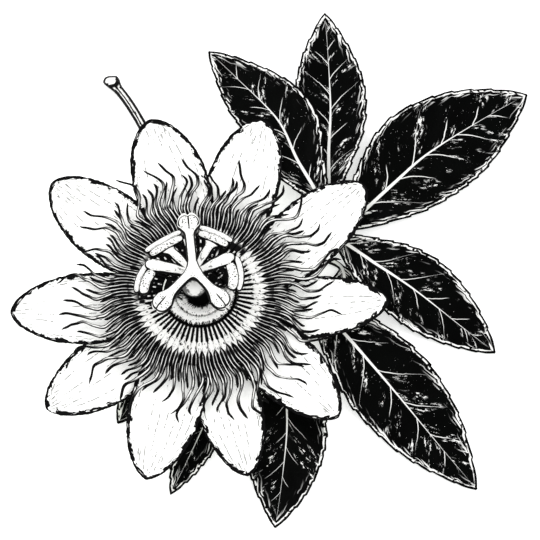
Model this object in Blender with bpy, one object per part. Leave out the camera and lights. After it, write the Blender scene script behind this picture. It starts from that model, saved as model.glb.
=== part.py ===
"""A cut sprig of passion flower, lying face up on a flat surface.

The origin is on that surface, under the middle of the flower, where the flower stalk rests.
+Z is up, out of the flower's face; +Y runs towards the two uppermost tepals, +X to the leaves.
All sizes below are in millimetres and degrees; MM turns them into metres when a mesh is made.
"""

import math

import bmesh
import bpy
from mathutils import Matrix, Vector

MM = 0.001
UP = Vector((0, 0, 1))

# Driving dimensions of the flower.
RIM_RADIUS = 8.8
RIM_Z = 11.0
PIT_FLOOR_Z = 8.6
RECEPTACLE_FOOT_Z = 4.6
CORONA_ROOT_RADIUS = 9.6
CORONA_Z = 12.4
FILAMENTS = 72
COLUMN_TOP = Vector((-1.2, 1.0, 19.7))
OVARY_CENTRE = Vector((-1.0, -2.2, 23.5))
OVARY_RADIUS = 3.0
STYLE_FORK = Vector((-1.1, -0.8, 28.6))

# Stem: the cut end, where the flower stalk leaves it, and the end that carries most leaves.
STEM_ROUTE = [
    (-23.2, 59.6), (-20.1, 56.0), (-16.4, 50.2), (-8.0, 35.0),
    (3.0, 21.0), (12.0, 15.4), (20.0, 14.2), (27.6, 15.6),
]
STEM_RADIUS = 1.1
STALK_ROUTE = [
    (3.0, 21.0, 1.2), (1.4, 13.0, 1.15), (0.2, 4.0, 1.05),
    (0.0, -0.1, 1.0), (0.0, -1.4, 2.3), (0.0, -0.6, 4.0),
]
STALK_RADIUS = 1.3

# Tepals: name, compass angle of the root, of the tip, length from the flower's axis, half width,
# height of the tip. Sepals are the lower whorl.
TEPALS = [
    ("petal_1", 101.0, 105.4, 48.2, 9.2, 7.5),
    ("sepal_1", 67.5, 72.2, 49.0, 8.9, 7.0),
    ("petal_2", 17.0, 36.6, 49.2, 8.6, 7.5),
    ("sepal_2", -14.0, -0.6, 45.0, 7.8, 7.0),
    ("petal_3", -38.0, -42.0, 44.0, 8.5, 7.0),
    ("sepal_3", -75.5, -75.2, 45.0, 7.9, 6.5),
    ("petal_4", -107.5, -105.4, 46.2, 8.7, 7.0),
    ("sepal_4", -134.5, -143.0, 45.2, 8.7, 6.5),
    ("petal_5", -169.0, -175.6, 45.4, 9.0, 7.5),
    ("sepal_5", 141.0, 140.5, 47.2, 9.2, 7.0),
]
TEPAL_THICK = 0.7
SEPAL_ROOT_Z = 9.5
PETAL_ROOT_Z = 10.6

# Leaves: name, where the leaf stalk meets the stem, where the blade starts, the tip,
# half width, sideways bow of the midrib, height of the blade's root above the surface.
LEAVES = [
    ("leaf_1", (20.6, 16.2), (28.6, 24.2), (1.2, 68.0), 9.4, -4.0, 4.9),
    ("leaf_2", (25.0, 17.0), (30.4, 26.0), (30.4, 78.6), 9.2, -1.2, 2.5),
    ("leaf_3", (28.9, 17.0), (34.5, 20.0), (80.6, 56.2), 13.1, 2.8, 1.3),
    ("leaf_4", (28.4, 14.0), (32.2, 17.0), (70.6, -11.4), 9.5, 1.0, 2.9),
    ("leaf_5", (20.6, 12.2), (26.0, 2.6), (65.2, -45.2), 10.9, 0.3, 2.9),
    ("leaf_6", (16.6, 12.4), (20.5, -9.4), (17.8, -54.4), 9.8, 1.4, 1.3),
    ("leaf_7", (12.4, 13.0), (6.4, -16.0), (-6.8, -46.4), 5.4, 0.4, 1.3),
    ("leaf_8", (25.6, 13.4), (33.6, 10.4), (33.0, -14.6), 6.4, 2.2, 1.3),
]
LEAF_THICK = 0.6
LEAF_STALK_RADIUS = 0.7

# Bracts under the flower: name, compass angle, length, half width, height of the tip.
BRACTS = [
    ("bract_1", 236.0, 35.0, 6.0, 0.5),
    ("bract_2", -4.0, 25.0, 6.5, 4.6),
    ("bract_3", 116.0, 26.0, 6.5, 4.6),
]
BRACT_ROOT_Z = 3.7

# Stamens: the middle of each anther, the compass angle it lies along, its length and radius,
# and where its filament ends. Every filament starts at the collar, COLLAR_RADIUS from its middle.
STAMENS = [
    ((3.5, 10.2), -24.5, 8.3, 1.5, (2.7, 8.1)),
    ((-8.0, 8.4), 31.0, 9.4, 1.5, (-6.6, 6.9)),
    ((-12.2, -0.1), 69.0, 8.0, 2.0, (-9.0, 2.9)),
    ((-8.0, -5.8), 46.0, 5.0, 1.10, (-5.6, -3.3)),
    ((8.1, 1.2), 95.0, 8.6, 1.9, (5.4, 4.2)),
]
COLLAR = Vector((-1.3, 1.7, 20.3))
COLLAR_RADIUS = 1.9
ANTHER_Z = 21.5

# Styles: where each stigma's end is.
STYLE_ENDS = [(-2.7, 14.4, 27.0), (-10.1, -9.7, 25.8), (6.9, -8.9, 25.8)]
STIGMA_RADIUS = 2.6

COLOURS = {
    "petal": ((0.86, 0.86, 0.82), 0.55),
    "sepal": ((0.80, 0.82, 0.74), 0.55),
    "leaf": ((0.020, 0.045, 0.022), 0.40),
    "stem": ((0.10, 0.14, 0.06), 0.50),
    "corona": ((0.05, 0.03, 0.10), 0.50),
    "centre": ((0.75, 0.74, 0.66), 0.50),
    "anther": ((0.80, 0.78, 0.62), 0.60),
}


def material(slot):
    """The Principled material of this slot, made once."""
    found = bpy.data.materials.get(slot)
    if found:
        return found
    colour, roughness = COLOURS[slot]
    made = bpy.data.materials.new(slot)
    made.use_nodes = True
    shader = made.node_tree.nodes["Principled BSDF"]
    shader.inputs["Base Color"].default_value = (*colour, 1)
    shader.inputs["Roughness"].default_value = roughness
    shader.inputs["Metallic"].default_value = 0.0
    return made


def solid(name, points, faces, slot):
    """An object from points in millimetres; its faces already point outwards."""
    mesh = bpy.data.meshes.new(name)
    mesh.from_pydata([Vector(p) * MM for p in points], [], faces)
    mesh.validate()
    mesh.materials.append(material(slot))
    mesh.shade_smooth()
    obj = bpy.data.objects.new(name, mesh)
    bpy.context.scene.collection.objects.link(obj)
    return obj


def ease(low, high, value):
    """0 before low, 1 after high, and a smooth step between them."""
    share = min(max((value - low) / (high - low), 0), 1)
    return share * share * (3 - 2 * share)


def smooth_path(points, count):
    """count points, evenly spaced along a curve that passes smoothly through the given ones."""
    given = [Vector(p) for p in points]
    ends = [2 * given[0] - given[1], *given, 2 * given[-1] - given[-2]]
    fine = []
    for before, start, stop, after in zip(ends, ends[1:], ends[2:], ends[3:]):
        for step in range(24):
            t = step / 24
            fine.append(
                0.5 * (2 * start + (stop - before) * t
                       + (2 * before - 5 * start + 4 * stop - after) * t**2
                       + (3 * start - before - 3 * stop + after) * t**3)
            )
    fine.append(given[-1])
    along = [0.0]
    for start, stop in zip(fine, fine[1:]):
        along.append(along[-1] + (stop - start).length)
    placed, i = [], 0
    for k in range(count):
        want = along[-1] * k / (count - 1)
        while i < len(fine) - 2 and along[i + 1] < want:
            i += 1
        share = (want - along[i]) / max(along[i + 1] - along[i], 1e-9)
        placed.append(fine[i].lerp(fine[i + 1], share))
    return placed


def ring_faces(rings, sides, first=0):
    """Quads that join rings of points, and a cap at each end, facing outwards."""
    faces = []
    for ring in range(rings - 1):
        for side in range(sides):
            low, high = first + ring * sides, first + (ring + 1) * sides
            after = (side + 1) % sides
            faces.append((low + side, low + after, high + after, high + side))
    faces.append(tuple(first + side for side in reversed(range(sides))))
    faces.append(tuple(first + (rings - 1) * sides + side for side in range(sides)))
    return faces


def tube(name, path, radii, slot, sides=8, flatness=1.0):
    """A round solid along a path, with a radius at each point. flatness thins it from above."""
    side = UP.cross(path[1] - path[0])
    side = side.normalized() if side.length > 1e-3 else Vector((1, 0, 0))
    points = []
    for i, centre in enumerate(path):
        along = (path[min(i + 1, len(path) - 1)] - path[max(i - 1, 0)]).normalized()
        side = (side - along * side.dot(along)).normalized()
        top = along.cross(side)
        for k in range(sides):
            turn = 2 * math.pi * (k + 0.5) / sides
            points.append(centre + radii[i] * (side * math.cos(turn) + top * math.sin(turn) * flatness))
    return solid(name, points, ring_faces(len(path), sides), slot)


def turned(name, profile, slot, steps=32):
    """A solid turned about the flower's axis from a closed outline of (radius, height), anticlockwise."""
    points = [
        (r * math.cos(2 * math.pi * k / steps), r * math.sin(2 * math.pi * k / steps), z)
        for k in range(steps) for r, z in profile
    ]
    n = len(profile)
    faces = [
        (k * n + i, (k + 1) % steps * n + i, (k + 1) % steps * n + (i + 1) % n, k * n + (i + 1) % n)
        for k in range(steps) for i in range(n) if profile[i][0] or profile[(i + 1) % n][0]
    ]
    obj = solid(name, points, faces, slot)
    whole = bmesh.new()
    whole.from_mesh(obj.data)
    bmesh.ops.remove_doubles(whole, verts=whole.verts, dist=1e-7)
    whole.to_mesh(obj.data)
    whole.free()
    return obj


def blade(name, spine, half_widths, lifts, thicknesses, slot, columns=4):
    """A leaf-like solid: rows across a spine, with the margins lifted, and a top and an underside."""
    top, under = [], []
    for i, centre in enumerate(spine):
        along = (spine[min(i + 1, len(spine) - 1)] - spine[max(i - 1, 0)]).normalized()
        side = UP.cross(along).normalized()
        normal = along.cross(side)
        for k in range(columns + 1):
            t = 2 * k / columns - 1
            middle = centre + side * half_widths[i] * t + UP * lifts[i] * t * t
            thick = thicknesses[i] * (1 - 0.45 * abs(t)) / 2
            top.append(middle + normal * thick)
            under.append(middle - normal * thick)
    n, wide, rows = len(top), columns + 1, len(spine)
    faces = []
    for i in range(rows - 1):
        for k in range(columns):
            a = i * wide + k
            faces.append((a, a + wide, a + wide + 1, a + 1))
            faces.append((n + a, n + a + 1, n + a + wide + 1, n + a + wide))
    edge = [i * wide for i in range(rows)] + [(rows - 1) * wide + k for k in range(1, wide)]
    edge += [i * wide + columns for i in reversed(range(rows - 1))] + list(reversed(range(1, columns)))
    for a, b in zip(edge, edge[1:] + edge[:1]):
        faces.append((a, n + a, n + b, b))
    return solid(name, top + under, faces, slot)


def polar(angle, radius, z):
    turn = math.radians(angle)
    return Vector((radius * math.cos(turn), radius * math.sin(turn), z))


def tepal(name, root_angle, tip_angle, length, half_width, tip_z):
    """One petal or sepal: narrow at the rim, sagging to its widest part, its margins turned up a little."""
    slot = name.split("_")[0]
    root_z = SEPAL_ROOT_Z if slot == "sepal" else PETAL_ROOT_Z
    root, widest = RIM_RADIUS + 0.35, length - 19
    swing = tip_angle - root_angle
    route = [
        polar(root_angle, root, root_z),
        polar(root_angle + 0.35 * swing, 18, root_z - 1.0),
        polar(root_angle + 0.75 * swing, 30, root_z - 2.9),
        polar(tip_angle, length, tip_z),
    ]
    spine = smooth_path(route, 14)
    widths, lifts = [], []
    for centre in spine:
        reach = math.hypot(centre.x, centre.y)
        if reach > widest:
            u = min((reach - widest) / (length - widest), 0.99)
            widths.append(half_width * (1 - u * u) ** 0.6)
        else:
            widths.append(half_width * (1 - 0.6 * ((widest - reach) / (widest - root)) ** 2))
        lifts.append(1.3 * ease(16, 32, reach) * widths[-1] / half_width)
    return blade(name, spine, widths, lifts, [TEPAL_THICK] * 14, slot)


def leaf(name, joint, root, tip, half_width, bow, root_z):
    """One leaf: its stalk from the stem, then a pointed blade whose midrib bows to one side."""
    joint, root, tip = (Vector(p) for p in (joint, root, tip))
    along = (tip - root).normalized()
    left = Vector((-along.y, along.x))
    middle = (root + tip) / 2 + left * bow
    route = [(*joint, 1.1), (*root, root_z), (*(root * 0.45 + middle * 0.55), root_z + 0.5),
             (*middle, root_z * 0.8), (*(middle * 0.4 + tip * 0.6 + left * bow * 0.15), 0.62), (*tip, 0.5)]
    spine = smooth_path(route, 17)
    stalk = (root - joint).length
    run = [0.0]
    for start, stop in zip(spine, spine[1:]):
        run.append(run[-1] + (stop - start).length)
    widths, lifts, thicks = [], [], []
    for distance in run:
        u = (distance - stalk) / (run[-1] - stalk)
        swell = 0.0 if u <= 0 else math.sin(math.pi * min(u, 0.99) ** 1.02) ** 0.8
        widths.append(max(half_width * swell, LEAF_STALK_RADIUS if u < 0.3 else 0.25))
        lifts.append(1.0 * swell)
        thicks.append(LEAF_THICK + (2 * LEAF_STALK_RADIUS - LEAF_THICK) * (1 - ease(-0.02, 0.12, u)))
    return blade(name, spine, widths, lifts, thicks, "leaf")


def bract(name, angle, length, half_width, tip_z):
    """One of the three small leaves that cup the flower from below."""
    route = [polar(angle, 2.6, BRACT_ROOT_Z), polar(angle, 9, BRACT_ROOT_Z + 0.3),
             polar(angle, 0.6 * length, (BRACT_ROOT_Z + tip_z) / 2 + 0.6), polar(angle, length, tip_z)]
    spine = smooth_path(route, 10)
    widths, lifts = [], []
    for i in range(10):
        swell = math.sin(math.pi * min(i / 9, 0.985) ** 0.8) ** 0.75
        widths.append(max(half_width * swell, 0.5 if i < 5 else 0.25))
        lifts.append(0.6 * swell)
    return blade(name, spine, widths, lifts, [0.6] * 10, "leaf")


def corona(name, root_radius, tip_radius, short, z, droop, turn):
    """One whorl of the corona: a thin ring and FILAMENTS tapering threads that arch out of it."""
    slots = 2 * FILAMENTS
    inner, thick = root_radius - 0.9, 0.5
    points, faces = [], []
    for k in range(slots):
        angle = 360 * (k + turn) / slots
        for radius in (inner, root_radius):
            for level in (z - thick / 2, z + thick / 2):
                points.append(polar(angle, radius, level))
    for k in range(slots):
        a, b = 4 * k, 4 * ((k + 1) % slots)
        faces += [(a, b, b + 2, a + 2), (a + 1, a + 3, b + 3, b + 1), (a, a + 1, b + 1, b)]
        if k % 2:
            faces.append((a + 2, b + 2, b + 3, a + 3))
            continue
        middle = 360 * (k + 0.5 + turn) / slots
        tip = tip_radius - short * (0.5 + 0.5 * math.sin(2.4 * k))
        last = [a + 2, b + 2, b + 3, a + 3]
        for share, width, drop in ((0.45, 0.75, 0.3 * droop), (1.0, 0.25, droop)):
            radius = root_radius + (tip - root_radius) * share
            half = thick * (0.5 if share < 1 else 0.3)
            across = polar(middle + 90, width / 2, 0)
            centre = polar(middle, radius, z - drop)
            first = len(points)
            points += [centre - across - UP * half, centre + across - UP * half,
                       centre + across + UP * half, centre - across + UP * half]
            new = [first, first + 1, first + 2, first + 3]
            faces += [(last[i], last[(i + 1) % 4], new[(i + 1) % 4], new[i]) for i in range(4)]
            last = new
        faces.append(tuple(last))
    return solid(name, points, faces, "corona")


def build_floor_cutter():
    """A block under the resting surface, which cuts a flat where the stem lies on it."""
    corners = [(-50, -20), (60, -20), (60, 90), (-50, 90)]
    points = [(x, y, z) for z in (-5, 0) for x, y in corners]
    return solid("floor_to_cut", points, ring_faces(2, 4), "stem")


def build_stem():
    """The cut stem and the flower stalk that grows out of it: one piece, flat where it rests."""
    path = smooth_path([(x, y, 0) for x, y in STEM_ROUTE], 26)
    radii = [STEM_RADIUS * (1 + 0.5 * (1 - ease(0, 2.2, i))) for i in range(26)]
    for centre, radius in zip(path, radii):
        centre.z = 0.93 * radius
    stem = tube("stem", path, radii, "stem")
    stalk = tube("stalk_to_join", smooth_path(STALK_ROUTE, 16), [STALK_RADIUS] * 16, "stem")
    for tool, operation in ((stalk, "UNION"), (build_floor_cutter(), "DIFFERENCE")):
        change = stem.modifiers.new(tool.name, "BOOLEAN")
        change.operation, change.object, change.solver = operation, tool, "EXACT"
        tool.hide_render, tool.display_type = True, "WIRE"


def build_receptacle():
    """The fleshy cup that carries every part of the flower, open at the top for the nectar pit."""
    foot, floor = RECEPTACLE_FOOT_Z, PIT_FLOOR_Z
    outside = [(0, foot), (2.2, foot), (5.4, 5.6), (7.8, 7.6), (RIM_RADIUS, RIM_Z - 0.8)]
    inside = [(RIM_RADIUS - 0.3, RIM_Z), (6.9, RIM_Z), (5.4, floor + 0.5), (4.4, floor), (0, floor)]
    turned("receptacle", outside + inside, "stem")


def build_centre():
    """The fringed lid over the nectar pit, and the low wall round the foot of the column."""
    lid = [(7.1, 11.3), (8.3, 11.3), (8.35, 12.2), (7.7, 13.1), (6.9, 13.2), (6.3, 12.6), (6.5, 12.1)]
    turned("operculum", lid, "centre")
    wall = [(4.3, 8.9), (4.9, 9.2), (5.9, 11.3), (5.8, 12.3), (5.3, 12.6), (4.6, 12.0), (4.1, 9.8)]
    turned("limen", wall, "centre")


def build_column():
    """The column that lifts stamens and ovary clear of the corona."""
    foot = (0, 0, PIT_FLOOR_Z + 0.3)
    path = smooth_path([foot, (-0.2, 0.1, 13.0), (-0.8, 0.6, 17.0), COLUMN_TOP], 9)
    tube("column", path, [1.9, 1.5, 1.35, 1.3, 1.3, 1.3, 1.35, 1.45, 1.5], "centre")


def build_stamens():
    """Five flat filaments spreading from the collar, each with a see-saw anther on its end."""
    for number, (middle, angle, length, radius, end) in enumerate(STAMENS, 1):
        stop = Vector((*end, ANTHER_Z - 0.2))
        start = COLLAR + (Vector((*end, COLLAR.z)) - COLLAR).normalized() * COLLAR_RADIUS
        path = smooth_path([start, start.lerp(stop, 0.5) + UP * 0.4, stop], 6)
        tube(f"stamen_{number}", path, [0.75, 0.95, 1.05, 1.1, 1.05, 0.95], "centre", sides=6, flatness=0.55)
        along = polar(angle, length / 2, 0)
        path = [Vector((*middle, ANTHER_Z)) + along * s for s in (-1, -0.9, -0.6, 0, 0.6, 0.9, 1)]
        radii = [radius * r for r in (0.45, 0.8, 1, 1, 1, 0.8, 0.45)]
        tube(f"anther_{number}", path, radii, "anther", flatness=0.85)


def build_pistil():
    """The ovary, and above it one forked piece: three styles grown together, each with its stigma."""
    steps = [-1, -0.85, -0.5, 0, 0.5, 0.85, 1]
    path = [OVARY_CENTRE + UP * OVARY_RADIUS * s for s in steps]
    radii = [OVARY_RADIUS * r for r in (0.25, 0.55, 0.87, 1, 0.87, 0.55, 0.25)]
    tube("ovary", path, radii, "centre", sides=12)
    joined = None
    for number, end in enumerate(STYLE_ENDS, 1):
        end = Vector(end)
        route = [STYLE_FORK - (end - STYLE_FORK) * 0.06, STYLE_FORK.lerp(end, 0.35) + UP * 0.9, end]
        path = smooth_path(route, 10)
        radii = [1.4, 1.5, 1.3, 1.15, 1.15, 1.2, 1.45, 2.1, STIGMA_RADIUS, 1.3]
        arm = tube("styles" if joined is None else f"style_{number}_to_join", path, radii, "centre")
        if joined is None:
            joined = arm
            continue
        join = joined.modifiers.new(arm.name, "BOOLEAN")
        join.operation, join.object, join.solver = "UNION", arm, "EXACT"
        arm.hide_render, arm.display_type = True, "WIRE"


def main():
    for old in list(bpy.data.objects):
        bpy.data.objects.remove(old)
    build_stem()
    build_receptacle()
    for row in TEPALS:
        tepal(*row)
    for row in LEAVES:
        leaf(*row)
    for row in BRACTS:
        bract(*row)
    corona("corona_outer", CORONA_ROOT_RADIUS, 31.0, 3.0, CORONA_Z, 2.2, 0.0)
    corona("corona_inner", CORONA_ROOT_RADIUS, 26.5, 4.0, CORONA_Z + 0.85, 1.4, 1.0)
    build_centre()
    build_column()
    build_stamens()
    build_pistil()


main()
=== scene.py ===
# %% [markdown]
# # A passion flower, cut and laid face up
# The flower, its ten white tepals, the ring of threads called the corona, the raised stamens and
# styles, and the stem with its leaves are all one cut sprig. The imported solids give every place
# and size. Each visible organ is then modelled again in detail and takes its solid's place.

# %% Load the fixed frame
import math

import bmesh
import bpy
import numpy as np
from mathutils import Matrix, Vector, kdtree
from mathutils import noise as waves


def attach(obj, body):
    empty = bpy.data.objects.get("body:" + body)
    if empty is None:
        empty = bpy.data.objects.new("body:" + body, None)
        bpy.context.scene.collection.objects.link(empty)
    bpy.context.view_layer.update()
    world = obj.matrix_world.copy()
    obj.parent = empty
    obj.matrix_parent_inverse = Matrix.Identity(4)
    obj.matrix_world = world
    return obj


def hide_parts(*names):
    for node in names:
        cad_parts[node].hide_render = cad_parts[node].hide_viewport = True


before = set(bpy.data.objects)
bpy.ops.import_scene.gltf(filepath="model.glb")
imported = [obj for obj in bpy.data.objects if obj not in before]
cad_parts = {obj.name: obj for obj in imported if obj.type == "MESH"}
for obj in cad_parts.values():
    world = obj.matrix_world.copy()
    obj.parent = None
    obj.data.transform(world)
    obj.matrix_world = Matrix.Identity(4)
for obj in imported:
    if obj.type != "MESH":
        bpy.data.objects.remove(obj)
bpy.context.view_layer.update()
MM = 0.001
UP = Vector((0, 0, 1))
print("solids:", len(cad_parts))

# %% [markdown]
# ## The camera
# The sprig lies on a table and is looked down on from the front, 70 degrees above the table.
# A long lens from 60 cm keeps the near and far petals the same size, as in a plate from a flora.

# %% Place the camera
VIEW_DISTANCE = 0.6
VIEW_ELEVATION = math.radians(70)
VIEW_WIDTH = 0.1296
VIEW_CENTRE = Vector((0.0166, 0.0074, 0.007))
camera_data = bpy.data.cameras.new("camera")
camera_data.lens = camera_data.sensor_width * VIEW_DISTANCE / VIEW_WIDTH
camera_data.clip_end = 10
camera = bpy.data.objects.new("camera", camera_data)
back = Vector((0, -math.cos(VIEW_ELEVATION), math.sin(VIEW_ELEVATION)))
camera.location = VIEW_CENTRE + VIEW_DISTANCE * back
camera.rotation_euler = (math.pi / 2 - VIEW_ELEVATION, 0, 0)
bpy.context.scene.collection.objects.link(camera)
bpy.context.scene.camera = camera
print("lens:", round(camera_data.lens), "mm")

# %% [markdown]
# ## Light and table
# Botanical plates are lit evenly, so that no petal is lost in shade. A pale table with a little
# light of its own, a bright even sky, a large soft lamp from the upper left and a weaker one from
# the lower right give gentle form and only a faint shadow.

# %% Build the table, the sky and the lamps
bpy.context.scene.view_settings.view_transform = "Standard"
TABLE_SIDE, TABLE_DROP, TABLE_GLOW = 3.0, 0.00002, 0.50


def build_table():
    mesh = bpy.data.meshes.new("table")
    side = TABLE_SIDE
    corners = [(-side, -side, 0), (side, -side, 0), (side, side, 0), (-side, side, 0)]
    mesh.from_pydata(corners, [], [(0, 1, 2, 3)])
    table = bpy.data.objects.new("table", mesh)
    table.location.z = -TABLE_DROP
    bpy.context.scene.collection.objects.link(table)
    paint = bpy.data.materials.new("table")
    paint.use_nodes = True
    shader = paint.node_tree.nodes["Principled BSDF"]
    shader.inputs["Base Color"].default_value = (0.9, 0.9, 0.9, 1)
    shader.inputs["Roughness"].default_value = 0.9
    shader.inputs["Specular IOR Level"].default_value = 0.1
    shader.inputs["Emission Color"].default_value = (1, 1, 1, 1)
    shader.inputs["Emission Strength"].default_value = TABLE_GLOW
    mesh.materials.append(paint)


def add_lamp(name, place, size, power):
    """A square soft lamp that faces the flower."""
    data = bpy.data.lights.new(name, "AREA")
    data.size, data.energy = size, power
    lamp = bpy.data.objects.new(name, data)
    lamp.location = place
    lamp.rotation_euler = (VIEW_CENTRE - Vector(place)).to_track_quat("-Z", "Y").to_euler()
    bpy.context.scene.collection.objects.link(lamp)


build_table()
add_lamp("key_lamp", (-0.35, 0.35, 0.9), 0.5, 3.0)
add_lamp("fill_lamp", (0.5, -0.3, 0.7), 0.6, 1.2)
sky = bpy.data.worlds.new("sky")
sky.use_nodes = True
sky.node_tree.nodes["Background"].inputs["Color"].default_value = (1, 1, 1, 1)
sky.node_tree.nodes["Background"].inputs["Strength"].default_value = 1.0
bpy.context.scene.world = sky
print("lamps:", 2)

# %% [markdown]
# ## Helpers for shapes
# Petals, leaves and stalks all follow a curved spine. One helper draws that spine smoothly
# through a few points; another steps softly from 0 to 1 and shapes every swelling and taper.

# %% Curve and mesh helpers


def ease(low, high, value):
    """0 before low, 1 after high, and a smooth step between them."""
    share = min(max((value - low) / (high - low), 0.0), 1.0)
    return share * share * (3 - 2 * share)


def polar(angle, radius, height):
    turn = math.radians(angle)
    return Vector((radius * math.cos(turn), radius * math.sin(turn), height))


def run_lengths(points):
    """The length along a path from its start to each of its points."""
    runs = [0.0]
    for start, stop in zip(points, points[1:]):
        runs.append(runs[-1] + (stop - start).length)
    return runs


def section(path, i):
    """The directions along, across and over a path at its point i."""
    along = (path[min(i + 1, len(path) - 1)] - path[max(i - 1, 0)]).normalized()
    side = UP.cross(along).normalized()
    return along, side, along.cross(side)


def join_rings(faces, first, second, sides):
    """Adds the faces between two rings of points, each given by its first point's number."""
    for k in range(sides):
        after = (k + 1) % sides
        faces.append((first + k, first + after, second + after, second + k))


def smooth_path(points, count):
    """count points, evenly spaced along a curve that passes smoothly through the given ones."""
    given = [Vector(p) for p in points]
    ends = [2 * given[0] - given[1], *given, 2 * given[-1] - given[-2]]
    fine = []
    for before, start, stop, after in zip(ends, ends[1:], ends[2:], ends[3:]):
        for step in range(32):
            t = step / 32
            fine.append(
                0.5 * (2 * start + (stop - before) * t
                       + (2 * before - 5 * start + 4 * stop - after) * t**2
                       + (3 * start - before - 3 * stop + after) * t**3)
            )
    fine.append(given[-1])
    along = run_lengths(fine)
    placed, i = [], 0
    for k in range(count):
        want = along[-1] * k / (count - 1)
        while i < len(fine) - 2 and along[i + 1] < want:
            i += 1
        share = (want - along[i]) / max(along[i + 1] - along[i], 1e-9)
        placed.append(fine[i].lerp(fine[i + 1], share))
    return placed


def new_piece(name, points, faces, paint):
    """A smooth closed mesh from points in millimetres, with its finish."""
    mesh = bpy.data.meshes.new(name)
    mesh.from_pydata([Vector(p) * MM for p in points], [], faces)
    mesh.materials.append(paint)
    mesh.shade_smooth()
    piece = bpy.data.objects.new(name, mesh)
    bpy.context.scene.collection.objects.link(piece)
    return piece


def place(piece, slot, *nodes):
    """Fixes a finished piece to the sprig, in the place of its solids."""
    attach(piece, "root")
    if nodes:
        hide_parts(*nodes)
    print(piece.name, len(piece.data.polygons), "faces")


def give_value(mesh, name, values):
    """Writes one number to each point of a mesh, for a finish to read."""
    store = mesh.attributes.new(name, "FLOAT", "POINT")
    store.data.foreach_set("value", np.asarray(values, np.float32))


def read_value(mesh, name):
    values = np.empty(len(mesh.vertices), np.float32)
    mesh.attributes[name].data.foreach_get("value", values)
    return values


def give_rows(piece, name, values):
    """Writes one number to each row of a blade, on its top and on its underside."""
    wide = len(piece.data.vertices) // (2 * len(values))
    give_value(piece.data, name, [value for value in values for _ in range(wide)] * 2)


# %% [markdown]
# ## Helpers for finishes
# A finish is a small network of nodes. Written out one by one the networks would fill pages, so
# this sketchbook wires them with short calls: a sum, a soft step, a noise, a mix of two colours.

# %% Finish helpers


class Finish:
    """A Principled material and the short calls that wire its nodes."""

    def __init__(self, name, roughness=0.5):
        self.material = bpy.data.materials.new(name)
        self.material.use_nodes = True
        self.tree = self.material.node_tree
        self.shader = self.tree.nodes["Principled BSDF"]
        self.shader.inputs["Roughness"].default_value = roughness
        self.shader.inputs["Specular IOR Level"].default_value = 0.06

    def feed(self, socket, value):
        if isinstance(value, bpy.types.NodeSocket):
            self.tree.links.new(value, socket)
        else:
            socket.default_value = value

    def math(self, kind, *values):
        node = self.tree.nodes.new("ShaderNodeMath")
        node.operation = kind
        for socket, value in zip(node.inputs, values):
            self.feed(socket, value)
        return node.outputs[0]

    def add(self, a, b):
        return self.math("ADD", a, b)

    def minus(self, a, b):
        return self.math("SUBTRACT", a, b)

    def times(self, a, b):
        return self.math("MULTIPLY", a, b)

    def either(self, a, b):
        return self.math("MAXIMUM", a, b)

    def both(self, a, b):
        return self.math("MULTIPLY", a, b)

    def step(self, value, low, high, start=0.0, stop=1.0):
        """A soft step from start to stop as value goes from low to high."""
        node = self.tree.nodes.new("ShaderNodeMapRange")
        node.interpolation_type = "SMOOTHSTEP"
        for socket, number in zip(node.inputs, (value, low, high, start, stop)):
            self.feed(socket, number)
        return node.outputs[0]

    def read(self, name):
        """A number stored on the mesh."""
        node = self.tree.nodes.new("ShaderNodeAttribute")
        node.attribute_name = name
        return node.outputs["Fac"]

    def place(self):
        node = self.tree.nodes.new("ShaderNodeTexCoord")
        return node.outputs["Object"]

    def join(self, x, y, z=0.0):
        node = self.tree.nodes.new("ShaderNodeCombineXYZ")
        for socket, value in zip(node.inputs, (x, y, z)):
            self.feed(socket, value)
        return node.outputs[0]

    def split(self, vector):
        node = self.tree.nodes.new("ShaderNodeSeparateXYZ")
        self.feed(node.inputs[0], vector)
        return node.outputs

    def noise(self, vector, scale, detail=2.0, rough=0.5):
        node = self.tree.nodes.new("ShaderNodeTexNoise")
        self.feed(node.inputs["Vector"], vector)
        node.inputs["Scale"].default_value = scale
        node.inputs["Detail"].default_value = detail
        node.inputs["Roughness"].default_value = rough
        return node.outputs["Fac"]

    def dots(self, vector, scale):
        """The distance to the nearest of many scattered points."""
        node = self.tree.nodes.new("ShaderNodeTexVoronoi")
        self.feed(node.inputs["Vector"], vector)
        node.inputs["Scale"].default_value = scale
        return node.outputs["Distance"]

    def mix(self, share, first, second):
        node = self.tree.nodes.new("ShaderNodeMix")
        node.data_type = "RGBA"
        self.feed(node.inputs["Factor"], share)
        for socket, colour in ((node.inputs[6], first), (node.inputs[7], second)):
            self.feed(socket, (*colour, 1) if isinstance(colour, tuple) else colour)
        return node.outputs[2]

    def millimetres(self):
        """The three numbers of the place, in millimetres."""
        return tuple(self.times(value, 1000) for value in self.split(self.place()))

    def length(self, x, y):
        return self.math("SQRT", self.add(self.times(x, x), self.times(y, y)))

    def glow(self, colour, strength):
        """A little light of its own, which lifts the shadows as in a plate."""
        self.feed(self.shader.inputs["Emission Color"], colour)
        self.shader.inputs["Emission Strength"].default_value = strength

    def finish(self, colour, height=None, depth=0.0001, roughness=None):
        """Wires the colour, and a bump whose depth is in metres."""
        self.feed(self.shader.inputs["Base Color"], colour)
        if height is not None:
            bump = self.tree.nodes.new("ShaderNodeBump")
            bump.inputs["Distance"].default_value = depth
            bump.inputs["Strength"].default_value = 1.0
            self.feed(bump.inputs["Height"], height)
            self.feed(self.shader.inputs["Normal"], bump.outputs[0])
        if roughness is not None:
            self.feed(self.shader.inputs["Roughness"], roughness)
        return self.material


INK = (0.0012, 0.0012, 0.0014)
PAPER = (0.88, 0.88, 0.86)
# These strengths are chosen, and stand for no property of the plant.
TEPAL_GLOW, FLESH_GLOW = 0.30, 0.16
print("ink and paper are the two tones that most finishes mix")

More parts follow.
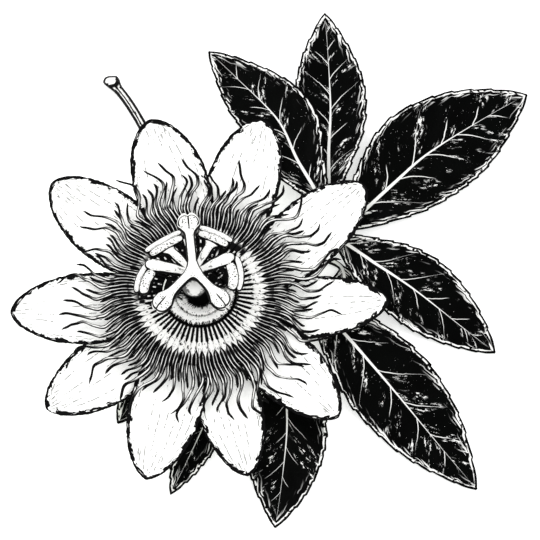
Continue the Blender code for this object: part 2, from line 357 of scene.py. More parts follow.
# %% [markdown]
# ## One blade for petals, leaves and bracts
# Every flat organ is a blade: rows across a curved spine, with a top, an underside and a thin
# rim. Plain grids are easier to shape by rule than a sculpt, so each point also keeps what the
# finishes need: its place across and along the blade, and its distance from the margin.

# %% Build a blade
MARGIN_CROWD = 1.5
UNDER_RELIEF = 0.6


def across_steps(half_count):
    """Places across a blade from -1 to 1, closer together near the margins."""
    shares = np.linspace(0, 1, half_count + 1)
    half = 1 - (1 - shares) ** MARGIN_CROWD
    return np.concatenate([-half[:0:-1], half])


def build_blade(name, spine, widths, lift, thick, relief, half_count, paint):
    """A blade on its spine, in millimetres. widths holds the left and right half widths of each
    row. lift and relief, of (row, t, x, along), and thick, of (row, t), shape the section."""
    steps = across_steps(half_count)
    rows, wide = len(spine), len(steps)
    runs = run_lengths(spine)
    top, under, xs, ys, ts = [], [], [], [], []
    for i, centre in enumerate(spine):
        _, side, normal = section(spine, i)
        left, right = widths[i]
        for t in steps:
            x = t * (left if t > 0 else right)
            middle = centre + side * x + UP * lift(i, t, x, runs[i])
            half = thick(i, t) / 2
            top.append(middle + normal * (half + relief(i, t, x, runs[i])))
            under.append(middle + normal * (-half + UNDER_RELIEF * relief(i, t, x, runs[i])))
            xs.append(x)
            ys.append(runs[i])
            ts.append(t)
    n, last = len(top), (rows - 1) * wide
    faces = []
    for i in range(rows - 1):
        for k in range(wide - 1):
            a = i * wide + k
            faces.append((a, a + wide, a + wide + 1, a + 1))
            faces.append((n + a, n + a + 1, n + a + wide + 1, n + a + wide))
    edge = [i * wide for i in range(rows)] + [last + k for k in range(1, wide)]
    edge += [i * wide + wide - 1 for i in reversed(range(rows - 1))]
    edge += list(reversed(range(1, wide - 1)))
    for a, b in zip(edge, edge[1:] + edge[:1]):
        faces.append((a, n + a, n + b, b))
    piece = new_piece(name, top + under, faces, paint)
    margin = kdtree.KDTree(len(edge))
    for k, index in enumerate(edge):
        margin.insert(top[index], k)
    margin.balance()
    near = [margin.find(point)[2] for point in top]
    give_value(piece.data, "side", xs * 2)
    give_value(piece.data, "along", ys * 2)
    give_value(piece.data, "across", ts * 2)
    give_value(piece.data, "margin", near * 2)
    give_value(piece.data, "top", [1.0] * n + [0.0] * n)
    return piece


def wave(value, seed, size=1.0):
    """A smooth random number from -1 to 1 that repeats for the same value and seed."""
    return waves.noise(Vector((value / size, seed * 7.31, 0.37)))


# %% [markdown]
# ## White tepals
# Five petals and five sepals look alike from above: firm, white, and a little hollow. Each has a
# dark uneven margin, a thin broken line just inside it, and a few faint lengthwise veins. The
# veins sit at fixed shares of the width, so on the narrowing tip they run together.

# %% Tepal finish
TEPAL_VEINS = 9
VEIN_HALF_WIDTH = 0.085


def make_tepal_paint():
    """Reads side, along and margin in millimetres from the mesh, and across from -1 to 1."""
    f = Finish("tepal_white", 0.55)
    side, along, across = f.read("side"), f.read("along"), f.read("across")
    margin, top, seed = f.read("margin"), f.read("top"), f.read("seed")
    here = f.join(side, along, seed)
    drift = f.minus(f.noise(here, 0.35), 0.5)
    # Veins at even shares of the width, each a hair that comes and goes.
    lane = f.math("ABSOLUTE", f.add(across, f.times(drift, 0.05)))
    wobble = f.times(lane, TEPAL_VEINS / 2)
    off_line = f.math("ABSOLUTE", f.minus(f.math("FRACT", wobble), 0.5))
    width = f.read("half_width")
    off_mm = f.times(off_line, f.times(width, 2 / TEPAL_VEINS))
    line = f.step(off_mm, VEIN_HALF_WIDTH * 0.5, VEIN_HALF_WIDTH * 1.6, 1.0, 0.0)
    lane_number = f.math("FLOOR", wobble)
    sign = f.math("SIGN", side)
    broken_at = f.join(f.times(lane_number, 5.3), f.times(along, 0.10), f.add(sign, seed))
    run = f.step(f.noise(broken_at, 1.0, 1.0), 0.46, 0.50)
    nicks = f.join(f.times(lane_number, 3.1), f.times(along, 0.85), f.add(sign, seed))
    gaps = f.both(run, f.step(f.noise(nicks, 1.0, 2.0), 0.45, 0.52))
    inside = f.step(margin, 0.9, 1.6)
    veins = f.both(f.both(line, gaps), inside)
    # The thin broken line about a millimetre inside the margin.
    ring = f.add(margin, f.times(drift, 1.1))
    ring_line = f.step(f.math("ABSOLUTE", f.minus(ring, 1.35)), 0.04, 0.12, 1.0, 0.0)
    ring_gaps = f.step(f.noise(here, 0.7, 3.0, 0.7), 0.50, 0.56)
    ring_line = f.both(ring_line, ring_gaps)
    # The dark margin, of uneven width.
    lengthwise = f.join(f.times(margin, 0.5), f.times(along, 0.45), f.add(seed, sign))
    uneven = f.times(f.minus(f.noise(lengthwise, 1.0, 3.0, 0.6), 0.5), 2.2)
    # Each stroke of the margin starts thin and swells, like a cut made by hand.
    stroke_run = f.add(f.times(along, 0.17), f.times(drift, 1.5))
    stroke = f.math("FRACT", f.add(stroke_run, f.add(f.times(sign, 0.3), seed)))
    edge = f.step(f.minus(f.add(margin, uneven), f.times(stroke, 0.55)), 0.56, 0.64, 1.0, 0.0)
    # Loose strokes run beside the margin, and split it where it is broad.
    beside = f.join(f.times(margin, 3.4), f.times(along, 0.33), f.add(f.times(sign, 2.0), seed))
    loose = f.step(f.noise(beside, 1.0, 2.0), 0.60, 0.64)
    loose = f.both(loose, f.step(margin, 0.9, 1.9, 1.0, 0.0))
    split = f.step(f.noise(beside, 1.3, 1.0), 0.66, 0.70)
    split = f.both(split, f.step(margin, 0.28, 0.36))
    edge = f.either(f.both(edge, f.minus(1.0, split)), f.times(loose, 0.9))
    # Fine strokes gather towards the tip.
    to_tip = f.read("to_tip")
    stroke_at = f.join(f.times(side, 3.2), f.times(along, 0.30), seed)
    strokes = f.step(f.noise(stroke_at, 1.0, 2.0), 0.585, 0.63)
    keel = f.both(strokes, f.step(to_tip, 3.0, 11.0, 1.0, 0.0))
    keel = f.both(keel, f.step(margin, 1.2, 2.2))
    marks = f.either(f.times(veins, 0.85), f.times(ring_line, 0.6))
    marks = f.either(marks, f.times(keel, 0.8))
    ink = f.either(marks, edge)
    mottle = f.step(f.noise(here, 0.18, 4.0), 0.3, 0.7)
    white = f.mix(mottle, (0.86, 0.87, 0.85), (0.93, 0.93, 0.91))
    under = f.mix(f.step(f.math("ABSOLUTE", side), 0.3, 1.4), (0.50, 0.60, 0.42), (0.80, 0.83, 0.76))
    body = f.mix(top, under, white)
    colour = f.mix(ink, body, INK)
    grain = f.noise(f.join(f.times(side, 5.0), f.times(along, 0.8), seed), 1.0, 3.0)
    height = f.minus(f.times(grain, 0.4), f.times(veins, 0.6))
    gloss = f.mix(ink, (0.5, 0.5, 0.5), (0.65, 0.65, 0.65))
    f.glow(colour, TEPAL_GLOW)
    return f.finish(colour, height, 0.00012, gloss)


tepal_paint = make_tepal_paint()
print("tepal finish:", len(tepal_paint.node_tree.nodes), "nodes")

# %% [markdown]
# A tepal is narrowest at the rim of the flower, widest two thirds of the way out, and ends in a
# small notched tip. Its margin is slightly jagged, so random steps are added to the width of
# each row, and a shallow keel and soft furrows give the light something to follow.

# %% Shape the ten tepals
RIM_RADIUS = 8.8
TEPAL_ROWS, TEPAL_HALF = 120, 14
TEPALS = (  # name, root and tip angle in degrees, length, half width and tip height in mm
    ("petal_1", 101.0, 105.4, 48.2, 9.2, 7.5),
    ("sepal_1", 67.5, 72.2, 49.0, 8.9, 7.0),
    ("petal_2", 17.0, 36.6, 49.2, 8.6, 7.5),
    ("sepal_2", -14.0, -0.6, 45.0, 7.8, 7.0),
    ("petal_3", -38.0, -42.0, 44.0, 8.5, 7.0),
    ("sepal_3", -75.5, -75.2, 45.0, 7.9, 6.5),
    ("petal_4", -107.5, -105.4, 46.2, 8.7, 7.0),
    ("sepal_4", -134.5, -143.0, 45.2, 8.7, 6.5),
    ("petal_5", -169.0, -175.6, 45.4, 9.0, 7.5),
    ("sepal_5", 141.0, 140.5, 47.2, 9.2, 7.0),
)


def build_tepal(name, root_angle, tip_angle, length, half_width, tip_z, seed):
    root_z = 9.5 if name.startswith("sepal") else 10.6
    root, widest = RIM_RADIUS + 0.35, length - 19
    swing = tip_angle - root_angle
    spine = smooth_path([
        polar(root_angle, root, root_z),
        polar(root_angle + 0.35 * swing, 18, root_z - 1.0),
        polar(root_angle + 0.75 * swing, 30, root_z - 2.9),
        polar(tip_angle, length, tip_z),
    ], TEPAL_ROWS)
    widths, lifts = [], []
    for i, centre in enumerate(spine):
        reach = math.hypot(centre.x, centre.y)
        if reach > widest:
            u = min((reach - widest) / (length - widest), 0.998)
            width = half_width * (1 - u * u) ** 0.6
        else:
            width = half_width * (1 - 0.6 * ((widest - reach) / (widest - root)) ** 2)
        jag = min(width, 2.0) * 0.09
        left = width + jag * (wave(i, seed, 2.3) + 0.8 * wave(i, seed + 0.5, 7.0))
        right = width + jag * (wave(i, seed + 3, 2.3) + 0.8 * wave(i, seed + 3.5, 7.0))
        widths.append((max(left, 0.12), max(right, 0.12)))
        lifts.append(1.3 * ease(16, 32, reach) * width / half_width)

    def lift(i, t, x, along):
        ripple = 0.22 * abs(t) ** 3 * wave(along, seed + (9 if t > 0 else 11), 6.0)
        return lifts[i] * t * t + ripple * ease(16, 30, along + root)

    def thick(i, t):
        return 0.62 * (1 - 0.5 * abs(t) ** 3)

    def relief(i, t, x, along):
        furrows = 0.05 * math.cos(abs(t) * math.pi * TEPAL_VEINS)
        keel = -0.16 * math.exp(-((x / 0.9) ** 2))
        return (furrows + keel) * (1 - t * t) + 0.05 * wave(along + 3 * x, seed, 2.5)

    piece = build_blade(name, spine, widths, lift, thick, relief, TEPAL_HALF, tepal_paint)
    give_rows(piece, "half_width", [sum(width) / 2 for width in widths])
    give_rows(piece, "to_tip", [(spine[-1] - point).length for point in spine])
    give_rows(piece, "seed", [seed * 3.7] * TEPAL_ROWS)
    return piece


for number, row in enumerate(TEPALS):
    tepal = build_tepal(*row, seed=number + 1)
    tepal.name = row[0] + "_blade"
    place(tepal, row[0].split("_")[0], row[0])

# %% [markdown]
# ## Leaves
# The leaves are dark and leathery. A pale midrib runs to the point, about five side veins arc
# forward from it on each side, and a broken pale band follows the toothed margin. The finish
# finds the side veins from the same curve that quilts the mesh, so paint and shape agree.

# %% Leaf finish
VEIN_SLANT, VEIN_ARC, VEIN_ROOT = 0.60, 0.020, 2.2


def vein_place(x, along):
    """Where a side vein through this point leaves the midrib, in mm from the leaf's root."""
    x = abs(x)
    return along - VEIN_SLANT * x - VEIN_ARC * x * x - VEIN_ROOT * (1 - math.exp(-x / 1.9))


def make_leaf_paint():
    f = Finish("leaf_dark", 0.5)
    side, along, margin = f.read("side"), f.read("along"), f.read("margin")
    top, seed, share = f.read("top"), f.read("seed"), f.read("share")
    width, spacing = f.read("half_width"), f.read("spacing")
    vein = f.add(f.read("vein"), f.step(side, -0.001, 0.001, 0.0, 0.5))
    out = f.math("ABSOLUTE", side)
    sign = f.math("SIGN", side)
    here = f.join(side, along, seed)
    drift = f.minus(f.noise(here, 0.3, 3.0), 0.5)
    # The midrib narrows to a hair at the point.
    bold = f.read("bold")
    rib_half = f.times(f.step(share, 0.0, 0.9, 0.46, 0.03), f.step(bold, 0.0, 1.0, 0.5, 1.0))
    rib_half = f.add(rib_half, f.times(drift, 0.10))
    rib = f.step(f.minus(out, rib_half), -0.03, 0.05, 1.0, 0.0)
    rib = f.both(rib, f.step(share, 0.90, 0.96, 1.0, 0.0))
    # Side veins, each of its own length, thinning outwards.
    lane = f.math("FLOOR", vein)
    off = f.math("ABSOLUTE", f.minus(f.math("FRACT", f.add(vein, f.times(drift, 0.10))), 0.5))
    off_mm = f.times(off, f.times(spacing, 0.80))
    outward = f.math("DIVIDE", out, width)
    own = f.noise(f.join(f.times(lane, 3.7), f.times(sign, 5.1), seed), 1.3, 0.0)
    length = f.times(f.step(own, 0.35, 0.65, 0.40, 0.86), f.step(bold, 0.1, 0.7, 0.35, 1.0))
    vein_half = f.minus(f.times(f.step(outward, 0.02, 0.70, 0.17, 0.02), bold), 0.01)
    branch = f.step(f.minus(off_mm, vein_half), -0.03, 0.05, 1.0, 0.0)
    branch = f.both(branch, f.step(f.minus(outward, length), -0.10, 0.0, 1.0, 0.0))
    branch = f.both(branch, f.step(share, 0.84, 0.88, 1.0, 0.0))
    # The pale band inside the margin, and short strokes that leave it slanting inwards.
    round_edge = f.join(f.times(margin, 0.35), f.times(along, 0.40), f.add(f.times(sign, 2.0), seed))
    band_half = f.step(f.noise(round_edge, 0.8, 3.0, 0.6), 0.34, 0.66, 0.02, 0.25)
    band = f.step(f.minus(f.math("ABSOLUTE", f.minus(margin, 0.66)), band_half), -0.05, 0.05, 1.0, 0.0)
    band = f.both(band, f.step(f.noise(round_edge, 2.6, 1.0), 0.38, 0.44))
    slant = f.add(f.times(margin, 2.6), f.times(along, 0.55))
    stroke_at = f.join(slant, f.times(along, 0.22), f.add(seed, sign))
    strokes = f.step(f.noise(stroke_at, 1.0, 1.0), 0.60, 0.64)
    strokes = f.both(strokes, f.step(margin, 0.9, 2.6, 1.0, 0.0))
    strokes = f.both(strokes, f.step(margin, 0.45, 0.6))
    # Flecks, gathered in clusters that lean along the veins.
    leaned = f.join(f.times(vein, f.times(spacing, 1.3)), f.times(out, 0.75), f.add(seed, sign))
    cluster = f.step(f.noise(leaned, 0.24, 1.0), 0.54, 0.64)
    spare = f.step(bold, 0.1, 0.7, 0.05, 0.0)
    fleck = f.step(f.minus(f.noise(leaned, 0.95, 4.0, 0.75), spare), 0.555, 0.59)
    blots = f.both(cluster, fleck)
    specks = f.step(f.noise(here, 2.6, 2.0, 0.6), 0.72, 0.76)
    specks = f.both(specks, f.step(f.noise(here, 0.2, 1.0), 0.42, 0.52))
    flecks = f.both(f.either(blots, specks), f.step(margin, 0.5, 0.8))
    pale = f.either(f.either(rib, branch), f.either(f.either(band, strokes), flecks))
    shown = f.times(pale, top)
    below = f.both(f.either(rib, branch), f.minus(1.0, top))
    clouds = f.step(f.noise(here, 0.12, 4.0), 0.3, 0.7)
    dark = f.mix(clouds, (0.0003, 0.0004, 0.0003), (0.0008, 0.0011, 0.0009))
    matt = f.mix(f.step(f.noise(here, 0.6, 4.0), 0.3, 0.7), (0.05, 0.062, 0.05), (0.075, 0.09, 0.072))
    matt = f.mix(below, matt, (0.30, 0.34, 0.27))
    body = f.mix(top, matt, dark)
    colour = f.mix(shown, body, (0.90, 0.90, 0.88))
    cells = f.dots(f.join(f.times(side, 1.6), f.times(along, 1.6), seed), 1.0)
    height = f.add(f.times(cells, 0.35), f.times(f.either(rib, branch), -0.7))
    rough = f.mix(pale, (0.42, 0.42, 0.42), (0.7, 0.7, 0.7))
    made = f.finish(colour, height, 0.00010, rough)
    f.shader.inputs["Specular IOR Level"].default_value = 0.02
    return made


leaf_paint = make_leaf_paint()
print("leaf finish:", len(leaf_paint.node_tree.nodes), "nodes")

# %% [markdown]
# Each leaf rests low over the table on its own stalk. The margin carries small teeth that lean towards
# the point: the width grows slowly and drops at once, like a saw. Between the side veins the
# blade puffs up a little, which is what makes a real leaf catch the light in patches.

# %% Shape the leaves
LEAF_ROW, LEAF_HALF = 0.34, 15
SIDE_VEINS, TEETH = 6.2, 13
STALK_RADIUS = 0.7
LEAVES = (  # name, joint, root and tip places, half width, bow and root height in mm, boldness of the veins
    ("leaf_1", (20.6, 16.2), (28.6, 24.2), (1.2, 68.0), 9.4, -4.0, 4.9, 0.75),
    ("leaf_2", (25.0, 17.0), (30.4, 26.0), (30.4, 78.6), 9.2, -1.2, 2.5, 0.8),
    ("leaf_3", (28.9, 17.0), (34.5, 20.0), (80.6, 56.2), 13.1, 2.8, 1.3, 1.0),
    ("leaf_4", (28.4, 14.0), (32.2, 17.0), (70.6, -11.4), 9.5, 1.0, 2.9, 0.7),
    ("leaf_5", (20.6, 12.2), (26.0, 2.6), (65.2, -45.2), 10.9, 0.3, 2.9, 0.8),
    ("leaf_6", (16.6, 12.4), (20.5, -9.4), (17.8, -54.4), 9.8, 1.4, 1.3, 0.40),
    ("leaf_7", (12.4, 13.0), (6.4, -16.0), (-6.8, -46.4), 5.4, 0.4, 1.3, 0.12),
    ("leaf_8", (25.6, 13.4), (33.6, 10.4), (33.0, -14.6), 6.4, 2.2, 1.3, 0.5),
)


def leaf_like(name, route, stalk, half_width, tooth, seed, bold, swell_power=0.8):
    """A toothed, veined blade along a route, after a stalk of the given length."""
    length = sum((Vector(b) - Vector(a)).length for a, b in zip(route, route[1:]))
    spine = smooth_path(route, int(length / LEAF_ROW))
    runs = run_lengths(spine)
    blade = runs[-1] - stalk
    spacing = blade / SIDE_VEINS
    tooth_pitch = blade / TEETH
    shares = [(run - stalk) / blade for run in runs]
    swells = [math.sin(math.pi * min(u, 0.997) ** 1.02) ** swell_power if u > 0 else 0.0 for u in shares]

    def saw(along, shift):
        place = along / tooth_pitch + shift + 0.35 * wave(along, seed + shift, 9.0)
        return place - math.floor(place)

    widths = []
    for run, u, swell in zip(runs, shares, swells):
        cut = tooth * ease(0.06, 0.2, u) * (1 - ease(0.9, 0.98, u))
        rough = 0.12 * swell * wave(run, seed, 1.3)
        left = half_width * swell - cut * (1 - saw(run, 0.1)) + rough
        left += 0.35 * swell * wave(run, seed, 11)
        right = half_width * swell - cut * (1 - saw(run, 0.6)) - rough
        right += 0.35 * swell * wave(run, seed + 5, 11)
        least = STALK_RADIUS * (1 - 0.2 * ease(0.1, 0.3, u)) if u < 0.3 else 0.14
        widths.append((max(left, least), max(right, least)))

    def lift(i, t, x, along):
        curl = 0.5 * swells[i] * abs(t) ** 3 * wave(along, seed + (2 if t > 0 else 4), 9.0)
        return 1.0 * swells[i] * t * t + curl

    def thick(i, t):
        stem_end = 1 - ease(-0.02, 0.12, shares[i])
        return (0.5 + (2 * STALK_RADIUS - 0.5) * stem_end) * (1 - 0.5 * abs(t) ** 3)

    def relief(i, t, x, along):
        if shares[i] <= 0:
            return 0.0
        lane = vein_place(x, along - stalk) / spacing + (0.5 if x > 0 else 0.0)
        puff = 0.17 * math.cos(2 * math.pi * lane) * math.sin(math.pi * abs(t)) * swells[i] ** 2
        groove = -0.20 * math.exp(-((x / 0.55) ** 2)) * swells[i]
        return puff + groove + 0.05 * wave(along + 2.2 * x, seed, 2.0)

    piece = build_blade(name + "_blade", spine, widths, lift, thick, relief, LEAF_HALF, leaf_paint)
    give_rows(piece, "half_width", [max(sum(width) / 2, 0.3) for width in widths])
    give_rows(piece, "share", shares)
    for title, value in (("seed", seed * 2.9), ("bold", bold), ("spacing", spacing)):
        give_rows(piece, title, [value] * len(spine))
    places = zip(read_value(piece.data, "side"), read_value(piece.data, "along"))
    veins = [vein_place(x, y - stalk) / spacing + 0.5 for x, y in places]
    give_value(piece.data, "vein", veins)
    return piece


def build_leaf(name, joint, root, tip, half_width, bow, root_z, bold, seed):
    joint, root, tip = Vector(joint), Vector(root), Vector(tip)
    along = (tip - root).normalized()
    left = Vector((-along.y, along.x))
    middle = (root + tip) / 2 + left * bow
    shoulder = root * 0.45 + middle * 0.55
    late = middle * 0.4 + tip * 0.6 + left * bow * 0.15
    route = [(*joint, 1.1), (*root, root_z), (*shoulder, root_z + 0.5),
             (*middle, root_z * 0.8), (*late, 0.62), (*tip, 0.5)]
    return leaf_like(name, route, (root - joint).length, half_width, 0.42, seed, bold)


for number, row in enumerate(LEAVES):
    leaf = build_leaf(*row, seed=number + 1)
    place(leaf, "leaf", row[0])

# %% [markdown]
# Under the flower sit three bracts, small leaves that once wrapped the bud. They are the same
# kind of blade as a leaf, so the same builder makes them, without a stalk.

# %% Shape the bracts
BRACTS = (  # name, angle in degrees, length, half width and tip height in mm
    ("bract_1", 236, 35, 6.0, 0.5),
    ("bract_2", -4, 25, 6.5, 4.6),
    ("bract_3", 116, 26, 6.5, 4.6),
)
BRACT_ROOT_Z = 3.7


def build_bract(name, angle, length, half_width, tip_z, seed):
    route = [polar(angle, 2.6, BRACT_ROOT_Z), polar(angle, 9, BRACT_ROOT_Z + 0.3),
             polar(angle, 0.6 * length, (BRACT_ROOT_Z + tip_z) / 2 + 0.6), polar(angle, length, tip_z)]
    return leaf_like(name, route, 0.01, half_width, 0.3, seed, 0.12, 0.75)


for number, row in enumerate(BRACTS):
    bract = build_bract(*row, seed=number + 21)
    place(bract, "leaf", row[0])

# %% [markdown]
# ## Rules for what repeats
# The corona is many threads that differ only in length and sway, so a Geometry Nodes tree makes
# it: one short tube is copied once for each thread, and each copy is bent by a rule of its number
# and its distance from the middle. As with the finishes, short calls keep the wiring readable.

# %% Rule helpers


class Rule:
    """A Geometry Nodes tree and the short calls that wire it."""

    def __init__(self, name):
        self.tree = bpy.data.node_groups.new(name, "GeometryNodeTree")
        self.sockets = {}
        self.plug("Geometry", "NodeSocketGeometry")
        self.tree.interface.new_socket("Geometry", in_out="OUTPUT", socket_type="NodeSocketGeometry")
        self.inside = self.tree.nodes.new("NodeGroupInput")
        self.outside = self.tree.nodes.new("NodeGroupOutput")

    def plug(self, name, kind):
        socket = self.tree.interface.new_socket(name, in_out="INPUT", socket_type=kind)
        self.sockets[name] = socket.identifier
        return socket.identifier

    def size(self, name, kind="NodeSocketFloat"):
        """A named input of the tree."""
        identifier = self.plug(name, kind)
        return next(s for s in self.inside.outputs if s.identifier == identifier)

    def node(self, kind, settings=None, **inputs):
        made = self.tree.nodes.new(kind)
        for name, value in (settings or {}).items():
            setattr(made, name, value)
        for name, value in inputs.items():
            self.feed(made.inputs[name.replace("_", " ")], value)
        return made

    def feed(self, socket, value):
        if isinstance(value, bpy.types.NodeSocket):
            self.tree.links.new(value, socket)
        else:
            socket.default_value = value

    def math(self, kind, *values):
        made = self.node("ShaderNodeMath", {"operation": kind})
        for socket, value in zip(made.inputs, values):
            self.feed(socket, value)
        return made.outputs[0]

    def add(self, *values):
        total = values[0]
        for value in values[1:]:
            total = self.math("ADD", total, value)
        return total

    def minus(self, a, b):
        return self.math("SUBTRACT", a, b)

    def times(self, *values):
        total = values[0]
        for value in values[1:]:
            total = self.math("MULTIPLY", total, value)
        return total

    def step(self, value, low, high, start=0.0, stop=1.0):
        made = self.node("ShaderNodeMapRange", {"interpolation_type": "SMOOTHSTEP"})
        for socket, number in zip(made.inputs, (value, low, high, start, stop)):
            self.feed(socket, number)
        return made.outputs[0]

    def join(self, x, y, z):
        return self.node("ShaderNodeCombineXYZ", X=x, Y=y, Z=z).outputs[0]

    def noise(self, vector, scale=1.0):
        """A smooth number between -1 and 1."""
        made = self.node("ShaderNodeTexNoise", Vector=vector, Scale=scale, Detail=1.0)
        return self.minus(self.times(made.outputs[0], 4.0), 2.0)

    def chance(self, number, low, high, seed):
        """A fixed random number for each thread."""
        made = self.node("FunctionNodeRandomValue", {"data_type": "FLOAT"})
        for name, value in (("Min", low), ("Max", high), ("ID", number), ("Seed", seed)):
            socket = [s for s in made.inputs if s.name == name and s.enabled][0]
            self.feed(socket, value)
        return [s for s in made.outputs if s.enabled][0]

    def read(self, name):
        made = self.node("GeometryNodeInputNamedAttribute", {"data_type": "FLOAT"}, Name=name)
        return made.outputs[0]

    def keep(self, geometry, name, value, domain="POINT"):
        """Stores a number on the mesh for the finish to read."""
        made = self.node("GeometryNodeStoreNamedAttribute", {"data_type": "FLOAT", "domain": domain},
                         Geometry=geometry, Name=name)
        self.feed([s for s in made.inputs if s.name == "Value" and s.enabled][0], value)
        return made.outputs[0]


def run_rule(rule, name, paint, sizes):
    """Runs a tree on an empty mesh, and returns its result as a plain mesh object."""
    empty = bpy.data.meshes.new(name)
    maker = bpy.data.objects.new(name + "_maker", empty)
    bpy.context.scene.collection.objects.link(maker)
    modifier = maker.modifiers.new("rule", "NODES")
    modifier.node_group = rule.tree
    modifier[rule.sockets["Finish"]] = paint
    for size, value in sizes.items():
        modifier[rule.sockets[size]] = value
    graph = bpy.context.evaluated_depsgraph_get()
    mesh = bpy.data.meshes.new_from_object(maker.evaluated_get(graph))
    maker.modifiers.remove(modifier)
    bpy.data.objects.remove(maker)
    mesh.name = name
    piece = bpy.data.objects.new(name, mesh)
    bpy.context.scene.collection.objects.link(piece)
    return piece


# %% [markdown]
# ## The corona threads
# A thread leaves the rim as a narrow bar with a dark gap beside it. Further out the bars swell
# until they touch and make a pale ring, then part again and taper into long wavy hairs. The
# width is therefore a rule of the distance from the middle, and the sway grows with it.

# %% The thread rule
THREAD_SIDES = 8
SWAY_RATE = 0.38
BAR_GAP = 0.58
BAR_END, RING_START = 12.5, 13.0
PARTING, ALL_HAIR = 14.4, 16.8


def make_thread_rule():
    r = Rule("threads")
    count = r.size("Threads", "NodeSocketInt")
    root = r.size("Root radius")
    reach = r.size("Reach")
    short = r.size("Shortening")
    height = r.size("Height")
    droop = r.size("Droop")
    sway = r.size("Sway")
    swell = r.size("Swell")
    hair = r.size("Hair width")
    turn = r.size("Turn")
    steps = r.size("Steps", "NodeSocketInt")
    seed = r.size("Seed", "NodeSocketInt")
    extra = r.size("Extra towards +Y")
    paint = r.size("Finish", "NodeSocketMaterial")
    # One straight tube for each thread, all in one place, numbered before they are realised.
    line = r.node("GeometryNodeMeshLine", Count=count, Offset=(0, 0, 0))
    tube = r.node("GeometryNodeMeshCylinder", Vertices=THREAD_SIDES, Side_Segments=steps,
                  Radius=1.0, Depth=1.0)
    copies = r.node("GeometryNodeInstanceOnPoints", Points=line.outputs[0], Instance=tube.outputs[0])
    number = r.node("GeometryNodeInputIndex").outputs[0]
    copies = r.keep(copies.outputs[0], "thread", number, "INSTANCE")
    body = r.node("GeometryNodeRealizeInstances", Geometry=copies).outputs[0]
    # The plain tube's own coordinates: across and over its section, and its share of the length.
    place = r.node("GeometryNodeInputPosition").outputs[0]
    parts = r.node("ShaderNodeSeparateXYZ", Vector=place).outputs
    thread, share = r.read("thread"), r.add(parts[2], 0.5)
    luck = r.chance(thread, 0.0, 1.0, seed)
    angle = r.times(r.add(thread, turn, r.times(r.minus(luck, 0.5), 0.16)), r.math("DIVIDE", math.tau, count))
    tip = r.minus(reach, r.times(short, r.math("POWER", r.chance(thread, 0.0, 1.0, r.add(seed, 3.0)), 1.6)))
    tip = r.add(tip, r.times(extra, r.math("MAXIMUM", r.math("SINE", angle), 0.0)))
    radius = r.add(root, r.times(share, r.minus(tip, root)))
    # Sway: one S for each thread, in step with its neighbours but not quite.
    circle = r.join(r.math("COSINE", angle), r.math("SINE", angle), 0.0)
    phase = r.times(r.noise(circle, 1.6), 2.2)
    phase = r.add(phase, r.chance(thread, -0.45, 0.45, r.add(seed, 5.0)))
    swing = r.math("SINE", r.add(r.times(r.minus(radius, 16.0), SWAY_RATE), phase))
    own = r.noise(r.join(r.times(radius, 0.22), r.times(thread, 3.1), 0.0))
    grow = r.times(r.step(radius, 15.0, 29.0), sway)
    side = r.times(grow, r.add(swing, r.times(own, 0.35)))
    # Width: bars, then touching, then hairs that taper to a blunt point.
    pitch = r.math("DIVIDE", r.times(radius, math.tau), count)
    bar = r.times(r.minus(pitch, BAR_GAP), 0.5)
    ring = r.times(r.times(pitch, 0.52), r.step(radius, BAR_END, RING_START))
    bar = r.times(bar, r.step(radius, BAR_END, RING_START, 1.0, 0.0))
    inner = r.times(r.add(bar, ring), swell)
    inner = r.add(inner, r.times(hair, r.minus(1.0, swell)))
    outer = r.times(hair, r.chance(thread, 0.88, 1.12, r.add(seed, 7.0)))
    mixed = r.times(inner, r.step(radius, PARTING, ALL_HAIR, 1.0, 0.0))
    mixed = r.add(mixed, r.times(outer, r.step(radius, PARTING, ALL_HAIR)))
    taper = r.step(share, 0.45, 0.97, 1.0, 0.62)
    blunt = r.math("SQRT", r.math("MAXIMUM", r.step(share, 0.955, 1.0, 1.0, 0.05), 0.02))
    half = r.times(mixed, taper, blunt)
    thick = r.math("MINIMUM", r.times(half, 0.9), 0.30)
    # Bend each copy into place, in millimetres.
    x = r.add(side, r.times(parts[0], half))
    fall = r.times(droop, r.step(radius, 15.0, 30.0))
    lift = r.add(r.noise(r.join(r.times(radius, 0.15), thread, 4.0)), luck)
    lift = r.times(lift, r.step(radius, 16.0, 26.0, 0.0, 0.35))
    z = r.add(r.minus(height, fall), lift, r.times(parts[1], thick))
    cosine, sine = r.math("COSINE", angle), r.math("SINE", angle)
    where = r.join(
        r.minus(r.times(radius, cosine), r.times(x, sine)),
        r.add(r.times(radius, sine), r.times(x, cosine)),
        z,
    )
    # Position reads change once the points move, so the numbers for the finish are kept first.
    body = r.keep(body, "side", r.times(parts[0], half))
    body = r.keep(body, "half_width", half)
    body = r.keep(body, "over", parts[1])
    body = r.keep(body, "reach", radius)
    body = r.keep(body, "share", share)
    body = r.keep(body, "angle", angle)
    scaled = r.node("ShaderNodeVectorMath", {"operation": "SCALE"}, Vector=where, Scale=MM).outputs[0]
    body = r.node("GeometryNodeSetPosition", Geometry=body, Position=scaled).outputs[0]
    body = r.node("GeometryNodeSetShadeSmooth", Geometry=body).outputs[0]
    body = r.node("GeometryNodeRealizeInstances", Geometry=body).outputs[0]
    body = r.node("GeometryNodeSetMaterial", Geometry=body, Material=paint).outputs[0]
    r.feed(r.outside.inputs[0], body)
    return r


thread_rule = make_thread_rule()
print("thread rule:", len(thread_rule.tree.nodes), "nodes")

# %% [markdown]
# Along each thread the finish changes too. The bars and the ring are pale; further out the flanks
# turn black and leave one pale streak on top, and where the thread narrows the streak runs out.
# Towards the cut end of the stem the ring has painted shade, dark by the angle round the flower.

# %% Thread finish
RING_END = 15.3
STREAK_NEAR, STREAK_FAR = 0.05, 0.17
# The middle of the ring's lit side; away from this angle the ring has painted shade.
LIT_RING_ANGLE = math.radians(-62)


